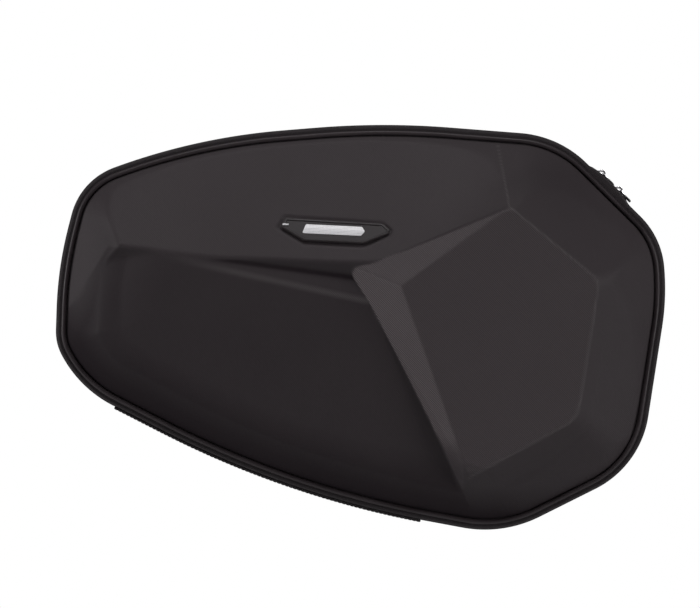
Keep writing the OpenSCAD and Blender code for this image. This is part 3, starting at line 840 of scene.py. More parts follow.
POLE = np.array([20.0, 8.0])


def polar_grid(rim, start_inset, shares):
    """x, z and inset on rings from the rim, at share 0, towards the pole, at share 1."""
    outer = rim.p - start_inset * rim.n
    shares = np.asarray(shares)[:, None, None]
    q = outer[None] * (1 - shares) + POLE * shares
    inset = inset_of(q[..., 0], q[..., 1])
    inset[0] = start_inset
    return q[..., 0], q[..., 1], inset


def flat_uv(obj):
    """Cloth coordinates of a piece that faces forwards or backwards: its x and z."""
    mesh = obj.data
    layer = mesh.uv_layers.get("cloth") or mesh.uv_layers.new(name="cloth")
    co = np.empty(len(mesh.vertices) * 3)
    mesh.vertices.foreach_get("co", co)
    index = np.empty(len(mesh.loops), int)
    mesh.loops.foreach_get("vertex_index", index)
    layer.data.foreach_set("uv", co.reshape(-1, 3)[index][:, [0, 2]].astype(np.float32).ravel())


def faced(obj, direction):
    """Turns an open sheet's faces towards a direction."""
    normals = np.empty(len(obj.data.polygons) * 3)
    obj.data.polygons.foreach_get("normal", normals)
    if normals.reshape(-1, 3).sum(0) @ np.array(direction) < 0:
        obj.data.flip_normals()
    return obj


def polar_mesh(name, x, z, depth, material, thickness, direction=FORWARD):
    """A closed sheet over a polar grid, with its thickness behind the side that faces a direction."""
    rows, cols = x.shape
    points = np.stack([x, -depth, z], -1) * MM
    obj = grid_mesh(name, points, np.zeros(cols + 1), np.zeros(rows), material, loop_u=True, end_face=True)
    flat_uv(obj)
    return finish_mesh(solidify(faced(obj, direction), thickness * MM), 60)


def float_attribute(obj, name, values):
    """A value on each point, repeated on both sides of a sheet that has been given a thickness."""
    values = np.asarray(values, np.float32).ravel()
    attribute = obj.data.attributes.new(name, "FLOAT", "POINT")
    attribute.data.foreach_set("value", np.resize(values, len(obj.data.vertices)))


def shell():
    """The moulded lid, with points close together where its edge turns."""
    near = np.array([0, .0015, .003, .005, .0075, .0105, .014, .018, .0225, .0275, .033])
    shares = np.concatenate([near, np.linspace(.040, .9975, 135)])
    x, z, inset = polar_grid(Rim(2.6), SHELL_INSET, shares)
    h, marks = lid_height(x, z, inset)
    h[0] = 0
    obj = polar_mesh("lid_shell", x, z, RIM_Z + h, SHELL, SHELL_T)
    # The marks give the cover its painted highlight and painted shade.
    for name, values in zip(("panel", "edge", "low"), marks):
        float_attribute(obj, name, values)
    return shown(obj, "lid", "front_shell", slot="shell_fabric")


def ruffle(x, z, scale_x, scale_z, seed):
    """Slow folds in a lining."""
    places = (Vector((a * scale_x, b * scale_z, seed)) for a, b in zip(np.ravel(x), np.ravel(z)))
    return np.array([noise.noise(p) for p in places]).reshape(np.shape(x))


def lid_lining():
    """The cloth inside the lid, which follows its form loosely."""
    start = SHELL_INSET + SHELL_T + 1.3
    shares = np.concatenate([[0, .006, .014, .025, .04], np.linspace(.06, .99, 50)])
    x, z, inset = polar_grid(Rim(6), start, shares)
    h, _ = lid_height(x, z, inset, detail=False)
    away = inset - start
    h = smooth_min(h - 5.6 + 0.7 * ruffle(x, z, .03, .05, 3.1), 0.4 + 1.6 * away, 2)
    obj = polar_mesh("lid_inner_cover", x, z, RIM_Z + np.maximum(h, 0.3), LINING, 0.6)
    return shown(obj, "lid", "lid_lining", slot="lining")


shell()
lid_lining()

# ---- tools for the smaller pieces ----

def unit(v):
    v = np.asarray(v, float)
    return v / np.linalg.norm(v, axis=-1, keepdims=True)


def through(points, count):
    """Points along a smooth curve through a few given ones."""
    p = np.array(points, float)
    ends, spans = np.array([2 * p[0] - p[1], *p, 2 * p[-1] - p[-2]]), len(p) - 1
    t = np.linspace(0, spans, count)
    i = np.minimum(t.astype(int), spans - 1)
    f = (t - i)[:, None]
    a, b, c, d = (ends[i + k] for k in range(4))
    squared, cubed = 2 * a - 5 * b + 4 * c - d, 3 * b - a - 3 * c + d
    return 0.5 * (2 * b + (c - a) * f + squared * f ** 2 + cubed * f ** 3)


def loft(name, path, side, profile, material, closed=False):
    """A closed profile of (across, through) in metres carried along a path."""
    path = np.asarray(path, float)
    step = np.roll(path, -1, 0) - np.roll(path, 1, 0) if closed else np.gradient(path, axis=0)
    tangent = unit(step)
    side = np.broadcast_to(np.asarray(side, float), path.shape)
    side = unit(side - (side * tangent).sum(-1, keepdims=True) * tangent)
    up = np.cross(side, tangent)
    points = np.array([path + a * side + b * up for a, b in profile])
    u = run_lengths(path)
    u = np.append(u, u[-1] + u[1])
    v = run_lengths(np.vstack([profile, profile[:1]]))
    return recalc(grid_mesh(name, points, u, v, material, closed, True, not closed, sharp=40), 40)


def strip_profile(width, thick):
    w, t = width / 2 * MM, thick / 2 * MM
    return soften([(-w, -t), (w, -t), (w, t), (-w, t)], thick * 0.35 * MM, 2)


def face_point(x, z, depth):
    """A point in the row frame, from a place on the bag's face in millimetres."""
    return np.array([x, -depth, z]) * MM


def slab_piece(name, outline, low, high, matrix, material, bevel, segments):
    """A flat outline given thickness between two levels in its own frame, with rounded edges."""
    n = len(outline)
    vertices = [(x * MM, y * MM, level * MM) for level in (low, high) for x, y in outline]
    faces = [tuple(range(n))[::-1], tuple(range(n, 2 * n))]
    faces += [(k, (k + 1) % n, (k + 1) % n + n, k + n) for k in range(n)]
    obj = recalc(new_object(name, vertices, faces, material, 40), 40)
    applied(obj, "BEVEL", width=bevel * MM, segments=segments, limit_method="ANGLE",
            angle_limit=math.radians(50))
    layer = obj.data.uv_layers.new(name="cloth")
    for loop in obj.data.loops:
        co = obj.data.vertices[loop.vertex_index].co
        layer.data[loop.index].uv = (co.x, co.y + co.z)
    obj.data.transform(matrix)
    return finish_mesh(obj, 40)


def frame_matrix(origin, x_axis, y_axis):
    """The matrix of a frame with this origin and these first two axes."""
    x, y = Vector(x_axis).normalized(), Vector(y_axis).normalized()
    z = x.cross(y)
    return Matrix([(x[k], y[k], z[k], origin[k]) for k in range(3)] + [(0, 0, 0, 1)])


def box_stitch(name, centre, along, across, length, width, out):
    """A sewn rectangle with a cross in it."""
    centre, along, across = np.asarray(centre, float), unit(along), unit(across)
    a, b = along * length / 2 * MM, across * width / 2 * MM
    corners = [centre + a + b, centre + a - b, centre - a - b, centre - a + b]
    lines = [(corners[k], corners[(k + 1) % 4]) for k in range(4)]
    lines += [(corners[0], corners[2]), (corners[1], corners[3])]
    return join([line_stitches(f"{name}_{k}", p, q, out) for k, (p, q) in enumerate(lines)], name)


# ---- gussets, piping and bindings ----

GARAGE_START, GARAGE_END, GARAGE_OUT = 4, 46, 2.8


def edge_start(i):
    """The point where the straight edge after a corner starts."""
    return arc_centre(i) + CORNERS[i][2] * edge_normal(i)


UPPER_RIGHT, LOWER_RIGHT = 5, 8
SLIDER_EDGE = RIM.nearest(edge_start(UPPER_RIGHT))


def garage_lift(s, inset, depth):
    """The zip garage swells the outer skin under the two parked sliders."""
    t = (s - SLIDER_EDGE - GARAGE_START) / (GARAGE_END - GARAGE_START)
    bump = np.sqrt(share(np.sin(share(t) * math.pi)))
    return GARAGE_OUT * bump * (inset < 2.2)


REAR_TAPER = 7
DRAFT = math.atan(REAR_TAPER / (REAR_Z - PANEL_Z))


def rear_inset(depth):
    """How far inside the outline the sloping rear wall is at a depth."""
    return 12 - REAR_TAPER * (depth - PANEL_Z) / (REAR_Z - PANEL_Z)


def gussets():
    """The three walls round the bag: a bowed rear one, the middle one and the lid's."""
    outer = [(rear_inset(d) - 0.9 * math.sin(math.pi * (d - PANEL_Z) / (REAR_Z - PANEL_Z)), d)
             for d in np.linspace(PANEL_Z, REAR_Z, 8)]
    rear = sweep("rear_wall", np.array(outer + [(8.6, REAR_Z), (15.6, PANEL_Z)]), CASE)
    shown(rear, "rear_case", "rear_gusset", slot="case_fabric")
    middle = soften([(0.6, MIDDLE_Z0), (0, MIDDLE_Z0 + 2), (0, MIDDLE_Z1 - 2), (0.6, MIDDLE_Z1),
                     (4, MIDDLE_Z1), (4, MIDDLE_Z0 + 2), (9, MIDDLE_Z0 + 2), (9, MIDDLE_Z0)], 0.8, 2)
    wall = sweep("middle_wall", middle, CASE, lift=garage_lift)
    shown(wall, "front_case", "middle_gusset", slot="case_fabric")
    lid = soften([(1.4, LID_Z), (0.5, LID_Z + 1), (0.4, RIM_Z - 1.6), (1.6, RIM_Z + 0.3), (4.2, RIM_Z + 0.2),
                  (12.4, RIM_Z - 0.1), (12.4, RIM_Z - 1.5), (2.4, RIM_Z - 1.6), (2.4, LID_Z)], 0.8, 2)
    shown(sweep("lid_wall", lid, CASE, lift=garage_lift), "lid", "lid_gusset", slot="case_fabric")


def bindings():
    """Bound edges, and the rows of stitches that hold them."""
    for name, body, inset, low, high in (
            ("rear_binding", "rear_case", rear_inset(REAR_Z) - 0.7, REAR_Z - 5.5, REAR_Z + 0.8),
            ("case_binding_rear", "front_case", 4.6, MIDDLE_Z0 - 1, MIDDLE_Z0 + 2),
            ("case_binding", "front_case", -0.5, MIDDLE_Z1 - 3.5, MIDDLE_Z1 + 1.2)):
        edge = [(inset + 1.6, low), (inset, low + 0.3), (inset, high - 0.3), (inset + 1.6, high)]
        tape = sweep(name, soften(edge, 0.5, 2), BINDING, lift=garage_lift if inset < 0 else None)
        shown(tape, body, slot="case_fabric")
    welt = soften([(0.9, LID_Z - 1.4), (-0.3, LID_Z - 1), (-0.3, LID_Z + 1.8), (0.9, LID_Z + 2.2)], 0.5, 2)
    shown(sweep("lid_binding", welt, BINDING, lift=garage_lift), "lid", slot="case_fabric")
    rear_row = join([stitches("rear_row_a", rear_inset(REAR_Z - 3) - 0.75, REAR_Z - 3),
                     stitches("rear_row_b", rear_inset(14) - 0.45, 14)], "rear_stitching")
    shown(rear_row, "rear_case", slot="webbing")
    span = (SLIDER_EDGE + GARAGE_END + 2, SLIDER_EDGE + GARAGE_START - 2 + RIM.length)
    shown(stitches("case_stitching", -0.55, MIDDLE_Z1 - 1.4, span), "front_case", slot="webbing")
    shown(stitches("lid_stitching", 2.6, RIM_Z + 0.25, span, lift=0.0), "lid", slot="webbing")


PIPING_R = 1.9


def piping():
    """The rubber beads round the lid and round the back."""
    for side, body, centre in (("front", "lid", (SHELL_INSET - 2.3, RIM_Z + PIPING_R)),
                               ("rear", "rear_case", (9.9, 6))):
        bead = sweep(side + "_bead", centre + circle(PIPING_R, 14), PIPING)
        shown(bead, body, side + "_piping", slot="piping")


# ---- zips ----

TOOTH_PITCH = 2.8


def teeth(name, inset, depth, side, span):
    """Moulded teeth along one half of a zip, each reaching across the middle."""
    s = np.arange(*span, TOOTH_PITCH) + (side > 0) * TOOTH_PITCH / 2
    p, n = RIM.at(s)
    centres = place(p, n, inset - 0.1, depth + side * 0.75)
    forward = np.tile(FORWARD, (len(s), 1))
    return rows_of(name, centres, forward, along_and_out(n)[1], (3.0, 1.35, 2.5), CHAIN, (0.8, 1.0, 1.0, 0.7))


def zip_half(name, body, node, inset, parting, far, side, span):
    """One tape of a zip with its cord and its teeth, round the whole outline or along a span of it."""
    near = parting + side * 1.0
    tape = soften([(inset - 0.1, near), (inset - 0.1, far), (inset + 0.9, far), (inset + 0.9, near)], 0.25, 1)
    cord = (inset - 0.1, parting + side * 2.3) + circle(0.75, 8)
    parts = [sweep(name + "_tape", tape, TAPE, span), sweep(name + "_cord", cord, TAPE, span)]
    chain = teeth(name + "_teeth", inset, parting, side, span or (0, RIM.length))
    shown(join(parts, name), body, node, slot="zip")
    shown(chain, body, slot="zip")


def zips():
    for name, body, inset, parting, far, side, span in (
            ("expansion_rear", "rear_case", EXP_INSET, EXP_Z, REAR_Z - 2, -1, None),
            ("expansion_front", "front_case", EXP_INSET, EXP_Z, MIDDLE_Z0 + 0.4, 1, None),
            ("main_rear", "front_case", MAIN_INSET, MAIN_Z, MIDDLE_Z1 - 2, -1, open_span()),
            ("main_front", "lid", MAIN_INSET, MAIN_Z, LID_Z + 1.5, 1, open_span())):
        node = name.replace("_", "_zip_")
        zip_half(name + "_tape", body, node, inset, parting, far, side, span)


def edge_frame(i, along, depth):
    """The frame of a straight edge: x along it, y outwards and z out from the motorcycle."""
    n = edge_normal(i)
    p = edge_start(i) + along * np.array([n[1], -n[0]])
    return frame_matrix(face_point(p[0], p[1], depth), (n[1], 0, -n[0]), (n[0], 0, n[1]))


def turned(matrix, points):
    """Points in millimetres of a frame, in metres of the row frame."""
    return np.array([matrix @ Vector(p) for p in np.asarray(points) * MM])


FLAT = Matrix.Rotation(math.radians(-90), 4, "X")    # lays a slab's outline in the zip's surface
SLIDER_L, PLATE_T, PLATE_GAP = 12.0, 1.4, 0.8
CHAIN_OVER = 0.8


def slider(name, node, body, matrix, inset, nose, width):
    """A zip slider: two rounded plates, a post, two bosses on the outer plate and an arched crown."""
    top = -inset + CHAIN_OVER + PLATE_GAP + PLATE_T
    bottom = -inset - 1 - CHAIN_OVER - PLATE_GAP - PLATE_T
    half, w = SLIDER_L / 2, width / 2
    flank = [(a * nose * half, b * w) for a, b in ((-1, 0.62), (-0.2, 1), (0.75, 1), (1, 0.7))]
    shape = soften(flank + [(x, -y) for x, y in flank[::-1]], 1.6)
    flat = matrix @ FLAT
    plates = [(x, -y) for x, y in shape]
    parts = [slab_piece(name + "_outer", plates, top - PLATE_T, top, flat, CHROME, 0.45, 3),
             slab_piece(name + "_inner", plates, bottom, bottom + PLATE_T, flat, CHROME, 0.45, 3)]
    post = [(nose * 3.5 + a, b) for a, b in ((-1.2, -0.5), (1.2, -0.5), (1.2, 0.5), (-1.2, 0.5))]
    parts.append(slab_piece(name + "_post", post, bottom + 0.2, top - 0.2, flat, CHROME, 0.15, 1))
    arch = [(3.8 * math.cos(t), top - 0.3 + 3.8 * math.sin(t), 0) for t in np.linspace(0, math.pi, 18)]
    parts.append(loft(name + "_crown", turned(matrix, arch), matrix.col[2][:3], circle(MM, 12), CHROME))
    for x in (-3.8, 3.8):
        boss = [(x + 1.5 * a, 1.7 * b) for a, b in circle(1, 14)]
        parts.append(slab_piece(f"{name}_boss{x:.0f}", boss, top - 0.4, top + 0.5, flat, CHROME, 0.3, 2))
    shown(join(parts, name), body, node, slot="slider_metal")


def puller(name, node, body, matrix, inset, width):
    """A wire loop in the slider's crown with a moulded, ribbed grip."""
    y = -inset + CHAIN_OVER + PLATE_GAP + PLATE_T + 1.3
    wire = [(7.5, y, 2.7), (1.2, y, 2.7), (0.2, y, 2.2), (0, y, 1.0)]
    line = turned(matrix, through(wire + [(x, y, -z) for x, _, z in wire[::-1]], 40))
    loop = loft(name + "_wire", line, matrix.col[1][:3], circle(0.75 * MM, 10), CHROME)
    flat = matrix @ Matrix.Translation((0, y * MM, 0)) @ FLAT
    w = width / 2
    flank = [(5.6, w * 0.72), (8, w), (12, w), (13, w * 0.55)]
    shape = soften(flank + [(x, -z) for x, z in flank[::-1]], 1.0)
    grip = [slab_piece(name + "_grip", shape, -0.85, 0.85, flat, PULLER, 0.4, 3)]
    for x in (7.2, 8.7, 10.2):
        rib = soften([(x, w * 0.7), (x + 0.8, w * 0.7), (x + 0.8, -w * 0.7), (x, -w * 0.7)], 0.3, 2)
        grip.append(slab_piece(f"{name}_rib{x:.0f}", rib, -1.15, 1.15, flat, PULLER, 0.2, 2))
    shown(join(grip, name), body, node, slot="puller_metal")
    shown(loop, body, slot="slider_metal")


PARKED = (15, 34)


def sliders():
    """The main zip's two sliders, parked nose to nose, and the expansion zip's one."""
    for a, along, nose in zip("ab", PARKED, (1, -1)):
        frame_here = edge_frame(UPPER_RIGHT, along, MAIN_Z)
        slider(f"slider_{a}_body", "main_slider_" + a, "slider_" + a, frame_here, MAIN_INSET, nose, 11)
        puller(f"puller_{a}_grip", "main_puller_" + a, "puller_" + a, frame_here, MAIN_INSET, 9)
    following = LOWER_RIGHT + 1
    edge_end = arc_centre(following) + CORNERS[following][2] * edge_normal(LOWER_RIGHT)
    run = np.linalg.norm(edge_end - edge_start(LOWER_RIGHT))
    frame_here = edge_frame(LOWER_RIGHT, run / 2, EXP_Z)
    slider("expansion_slider_body", "expansion_slider", "rear_case", frame_here, EXP_INSET, 1, 9)
    puller("expansion_puller_grip", "expansion_puller", "expansion_puller", frame_here, EXP_INSET, 8)


# ---- fabric that crosses a joint ----

def bellows():
    """The hidden wall that the expansion zip lets out, folded inwards."""
    low, high = REAR_Z - 1.5, MIDDLE_Z0 + 1.5
    fold = [(8.4, low), (9.0, low + 1.5), (13, EXP_Z - 2.6), (17.6, EXP_Z - 0.7), (17.6, EXP_Z + 0.7),
            (13, EXP_Z + 2.6), (9.0, high - 1.5), (8.4, high)]
    line = through(fold, 22)
    tangent = unit(np.gradient(line, axis=0))
    normal = np.stack([tangent[:, 1], -tangent[:, 0]], -1)
    profile = np.vstack([line - 0.3 * normal, (line + 0.3 * normal)[::-1]])
    obj = sweep("bellows_wall", profile, BELLOWS)
    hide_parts("expansion_bellows")
    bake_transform(obj)


def hinge():
    """A fabric panel that takes the zip's place along the lower edge; it is built in one fixed shape."""
    span = (HINGE_S - HINGE_HALF - 3, HINGE_S + HINGE_HALF + 3)
    depths = np.linspace(MIDDLE_Z1 - 2, LID_Z + 2.5, 19)
    outer = [(-1.9 - 0.25 * math.sin(math.pi * k / 18), d) for k, d in enumerate(depths)]
    inner = [(-0.6, d) for d in depths[::-1]]
    panel = sweep("hinge_cloth", np.array(outer + inner), BINDING, span)
    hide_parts("hinge_panel")
    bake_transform(panel)
    for name, body, depth in (("hinge_stitching_rear", "front_case", MIDDLE_Z1 - 0.5),
                              ("hinge_stitching_front", "lid", LID_Z - 0.4)):
        shown(stitches(name, -2.0, depth, span), body, slot="webbing")


# ---- back ----

PAD_CORNERS = [(-168, -34, 20), (-168, 66, 20), (184, 66, 20), (196, 20, 20), (170, -78, 20), (96, -106, 20),
               (-50, -86, 60)]
PAD_T = depth_of("antislip_pad", 1)
BACK_INSET = 12
STUD_PITCH = 9.0


def back_panel():
    """The quilted panel that lies against the motorcycle."""
    shares = np.concatenate([[0, .004, .009, .016, .025], np.linspace(.04, .995, 60)])
    x, z, inset = polar_grid(Rim(5), BACK_INSET, shares)
    away = inset - BACK_INSET
    depth = 4.6 - 1.5 * np.sqrt(share(1 - (1 - share(away / 5)) ** 2))
    depth += 0.8 * np.exp(-((away - 11) / 1.6) ** 2) + 0.15 * ruffle(x, z, .02, .03, 8.2)
    obj = polar_mesh("back_cloth", x, z, np.clip(depth, 3.0, PANEL_Z), CASE, 2.4, BACKWARD)
    shown(obj, "rear_case", "back_panel", slot="case_fabric")
    p, n = RIM.at(np.arange(0, RIM.length, STITCH_PITCH))
    centres, back = place(p, n, BACK_INSET + 11, 3.55), np.tile(BACKWARD, (len(n), 1))
    row = rows_of("back_stitching", centres, along_and_out(n)[0], back, (2.5, 0.5, 0.45), THREAD)
    shown(row, "rear_case", slot="webbing")


def raised_dots(name, spots, size, material, rings, sides):
    """Studs or hooks that stand out from the back."""
    back, right = (np.tile(a, (len(spots), 1)) for a in (BACKWARD, (1, 0, 0)))
    return rows_of(name, spots, back, right, size, material, rings, sides)


def antislip_pad():
    """A rubber pad with a raised border and rows of round studs."""
    rim = Rim(4, PAD_CORNERS)
    levels = ((0, PAD_T), (0, 1.2), (0.5, 0.45), (1.4, 0.2), (4.6, 0.2), (5.4, 0.6), (6, 1.2))
    points = np.array([place(rim.p, rim.n, inset, depth) for inset, depth in levels])
    pad = grid_mesh("antislip_border", points, rim.s * MM, np.arange(len(levels)) * MM, GRIP, True,
                    end_face=True, sharp=40)
    faced(pad, BACKWARD)
    spots = [((column + row % 2 / 2) * STUD_PITCH, row * STUD_PITCH * 0.87)
             for row in range(-13, 9) for column in range(-22, 24)]
    studs = [face_point(x, z, 0.6) for x, z in spots if polygon_distance(x, z, PAD_CORNERS) < -9]
    bumps = raised_dots("antislip_studs", studs, (1.2, 4.6, 4.6), GRIP, (1.0, 1.0, 0.92, 0.7), 10)
    shown(join([pad, bumps], "antislip_rubber"), "rear_case", "antislip_pad", slot="grip_rubber")


def bridge(name, node, x, z, slot_w, slot_h, height):
    """A strap keeper: webbing sewn down at both ends that arches away from the back panel."""
    half, top = slot_w / 2, -slot_h + PAD_T - 1.1
    rise = [(half - 3, top), (half + 0.6, top + 0.3), (half + 1.8, top * 0.5), (half + 2.4, 0),
            (half + 3.4, 1.6), (half + 4.6, 2.1)]
    path = [(-a, d) for a, d in rise[::-1]] + [(0, top)] + rise
    curve = through([(x + a, -d, z) for a, d in path], 66) * MM
    band = loft(name, curve, (0, 0, 1), strip_profile(height, 1.9), WEBBING)
    shown(band, "rear_case", node, slot="webbing")
    reach = np.array([0, 0, height / 2 - 2]) * MM
    for k, side in enumerate((-1, 1)):
        centre = face_point(x + side * (half - 8), z, top - 1.1)
        sewn = line_stitches(f"{name}_row{k}", centre + reach, centre - reach, BACKWARD)
        shown(sewn, "rear_case", slot="webbing")


STRAP_Z = 100


def back_fittings():
    """Keepers for the straps over the seat, loops for the tie-downs and a patch of hook tape."""
    for side, x in (("left", -92), ("right", 92)):
        bridge("keeper_" + side, "seat_strap_keeper_" + side, x, STRAP_Z, 56, 5.4, 34)
    for side, x, z in (("left", -194, -12), ("right", 140, -118)):
        bridge("tie_loop_" + side, "tie_down_loop_" + side, x, z, 26, 4.6, 22)
    corners = [(-38, -20, 3), (-38, 20, 3), (38, 20, 3), (38, -20, 3)]
    matrix = frame_matrix(face_point(0, STRAP_Z, 3), (-1, 0, 0), (0, 0, 1))
    base = slab_piece("hook_tape_base", Rim(1.5, corners).p, 0, 0.7, matrix, HOOKS, 0.2, 1)
    spots = [face_point(a, STRAP_Z + b, 1.9)
             for a in np.arange(-35, 36, 2.0) for b in np.arange(-17.5, 18, 2.0)]
    hooks = raised_dots("hook_tape_hooks", spots, (0.9, 0.7, 0.9), HOOKS, (0.6, 0.6, 1.0, 0.6), 5)
    shown(join([base, hooks], "hook_tape"), "rear_case", "hook_patch", slot="hook_tape")


# ---- handle and rings ----

HANDLE_X, HANDLE_HALF, HANDLE_FREE, HANDLE_Z = 18, 84, 58, 30
HANDLE_GAP = 4.8


def top_of_case(x, depth):
    """Height of the rear wall's top at x and a depth."""
    keep = RIM.n[:, 1] > 0.3
    edge = RIM.p[keep] - rear_inset(depth) * RIM.n[keep]
    return np.interp(x, edge[:, 0], edge[:, 1])


def handle_line(count, low, high, lift):
    """A line along the handle at a lift above its webbing's seat, and how far it bows."""
    x = np.linspace(low, high, count)
    bow = np.where(np.abs(x) > HANDLE_FREE, 0, np.cos(np.clip(x / HANDLE_FREE, -1, 1) * math.pi / 2) ** 2)
    z = np.array([top_of_case(HANDLE_X + a, HANDLE_Z + 12.5 * b) for a, b in zip(x, bow)])
    line = np.stack([HANDLE_X + x, np.full(count, -HANDLE_Z), z + 0.2 + HANDLE_GAP * bow + lift], -1)
    return line * MM, bow


def handle():
    """The carry handle: webbing under two patches, with a padded sleeve in the middle."""
    path, bow = handle_line(70, -HANDLE_HALF, HANDLE_HALF, 1.1)
    tilt = DRAFT * (1 - bow)
    side = np.stack([np.zeros(70), -np.cos(tilt), np.sin(tilt)], -1)
    band = loft("handle_webbing", path, side, strip_profile(25, 2.0), WEBBING)
    shown(band, "rear_case", "carry_handle", slot="webbing")
    grip_path, _ = handle_line(36, -34, 34, 1.3)
    wrap = soften([(-14, -1.2), (14, -1.2), (14.6, 0.4), (12, 2.2), (-12, 2.2), (-14.6, 0.4)], 1.2) * MM
    grip = loft("handle_grip", grip_path, (0, -1, 0), wrap, GRIP)
    swollen(grip, 1.6, 4.0, 1.1)
    shown(grip, "rear_case", slot="grip_rubber")
    for side_name, node, low in (("left", "handle_patch_left", -HANDLE_HALF),
                                 ("right", "handle_patch_right", HANDLE_HALF - 22)):
        path, _ = handle_line(10, low, low + 22, 2.9)
        lean = (0, -math.cos(DRAFT), math.sin(DRAFT))
        patch = loft("handle_patch_cloth_" + side_name, path, lean, strip_profile(29, 1.2), BINDING)
        shown(patch, "rear_case", node, slot="webbing")
        along = unit(path[-1] - path[0])
        out = np.cross(along, unit(lean))
        out = out if out[2] > 0 else -out
        centre = path[len(path) // 2] + 0.7 * MM * out
        sewn = box_stitch("handle_stitching_" + side_name, centre, along, lean, 17, 20, out)
        shown(sewn, "rear_case", slot="webbing")


CLOTH_FRAMES = 20


def swollen(obj, voxel, pressure, cap):
    """Swells a padded piece as cloth under pressure, moving no point further than the cap."""
    scene = bpy.context.scene
    applied(obj, "REMESH", mode="VOXEL", voxel_size=voxel * MM)
    count = len(obj.data.vertices)
    start = np.empty(count * 3)
    obj.data.vertices.foreach_get("co", start)
    cloth = obj.modifiers.new("cloth", "CLOTH")
    cloth.settings.use_pressure = True
    cloth.settings.uniform_pressure_force = pressure
    cloth.settings.effector_weights.gravity = 0
    cloth.settings.tension_stiffness = 30
    cloth.point_cache.frame_start, cloth.point_cache.frame_end = 1, CLOTH_FRAMES
    for moment in range(1, CLOTH_FRAMES + 1):
        scene.frame_set(moment)
    end = np.empty(count * 3)
    obj.evaluated_get(bpy.context.evaluated_depsgraph_get()).data.vertices.foreach_get("co", end)
    obj.modifiers.remove(cloth)
    scene.frame_set(1)
    move = (end - start).reshape(-1, 3)
    reach = np.maximum(np.linalg.norm(move, axis=1, keepdims=True), 1e-9)
    move *= np.minimum(1, cap * MM / reach)
    obj.data.vertices.foreach_set("co", start + move.ravel())
    finish_mesh(applied(obj, "SUBSURF", levels=1), 60)


RING_R, RING_WIRE = 12, 1.6
RING_LIFT = RING_WIRE + 2.2
RING_DEPTH = 34


def ring_frame(p, n):
    """The frame of a ring's tab on the sloping gusset: x along the outline, y out of the wall."""
    base = face_point(*(p - rear_inset(RING_DEPTH) * n), RING_DEPTH)
    out = np.array([n[0] * math.cos(DRAFT), math.sin(DRAFT), n[1] * math.cos(DRAFT)])
    return frame_matrix(base, (n[1], 0, -n[0]), out)


def ring(side, p, n):
    """A D-ring in a folded tab of webbing."""
    matrix = ring_frame(p, n)
    t = np.linspace(math.pi, 2 * math.pi, 30)
    r = RING_R + RING_WIRE
    bow = [(r * math.cos(a), RING_LIFT, r * math.sin(a)) for a in t]
    path = turned(matrix, bow + [(x, RING_LIFT, 0) for x in np.linspace(r - 2.5, -r + 2.5, 10)])
    along, out, across = (matrix.col[k][:3] for k in range(3))
    hoop = loft("ring_wire_" + side, path, out, circle(RING_WIRE * MM, 14), STEEL, closed=True)
    shown(hoop, "ring_" + side, "d_ring_" + side, slot="steel")
    loop_r = RING_WIRE + 1.2
    turn = [(0, RING_LIFT + loop_r * math.sin(a), -loop_r * math.cos(a))
            for a in np.linspace(-0.5, math.pi + 0.5, 14)[1:-1:3]]
    under, over = [(0, 0.9, 18), (0, 0.9, 8), (0, 0.95, 1)], [(0, 2.4, 5), (0, 2.3, 10), (0, 2.3, 18)]
    strap = through(under + turn + [(0, RING_LIFT + 0.6, 3.2)] + over, 60)
    band = loft("ring_webbing_" + side, turned(matrix, strap), along, strip_profile(19, 1.0), WEBBING)
    shown(band, "rear_case", "ring_tab_" + side, slot="webbing")
    centre = turned(matrix, [(0, 3.0, 12.5)])[0]
    sewn = box_stitch("ring_stitching_" + side, centre, along, across, 14, 8, out)
    shown(sewn, "rear_case", slot="webbing")


UPPER_LEFT = 3


def rings():
    """One ring just past the upper left corner's start, and one along the upper right edge."""
    first = edge_normal(UPPER_LEFT - 1)
    angle = math.atan2(first[1], first[0]) - math.radians(5)
    n = np.array([math.cos(angle), math.sin(angle)])
    ring("left", arc_centre(UPPER_LEFT) + CORNERS[UPPER_LEFT][2] * n, n)
    n = edge_normal(UPPER_RIGHT)
    ring("right", edge_start(UPPER_RIGHT) + 30 * np.array([n[1], -n[0]]), n)


# ---- inside ----

def rear_lining():
    """The cloth on the case's floor and walls, with slow folds."""
    start = 16.8
    shares = np.concatenate([[0, .006, .014, .025], np.linspace(.04, .99, 44)])
    x, z, inset = polar_grid(Rim(5), start, shares)
    depth = 9.4 + 2.2 * np.exp(-(inset - start) / 2.5) + 0.3 * (1 + ruffle(x, z, .02, .04, 5.5))
    floor_piece = polar_mesh("case_floor_lining", x, z, depth, LINING, 0.5)
    top = REAR_Z - 0.5

    def belly(depth):
        return math.sin((depth - 9) / (top - 9) * math.pi)

    def folds(s, inset, depth):
        return 0.35 * np.sin(s / 17.0) * belly(depth) - 0.35

    walls = [(rear_inset(d) + 4.6 + 0.5 * belly(d), d) for d in np.linspace(10, top, 7)]
    inner = [(a + 0.6, d) for a, d in walls[::-1]]
    wall = sweep("case_wall_lining", np.array(walls + inner), LINING, lift=folds)
    shown(join([floor_piece, wall], "case_lining"), "rear_case", "rear_lining", slot="lining")


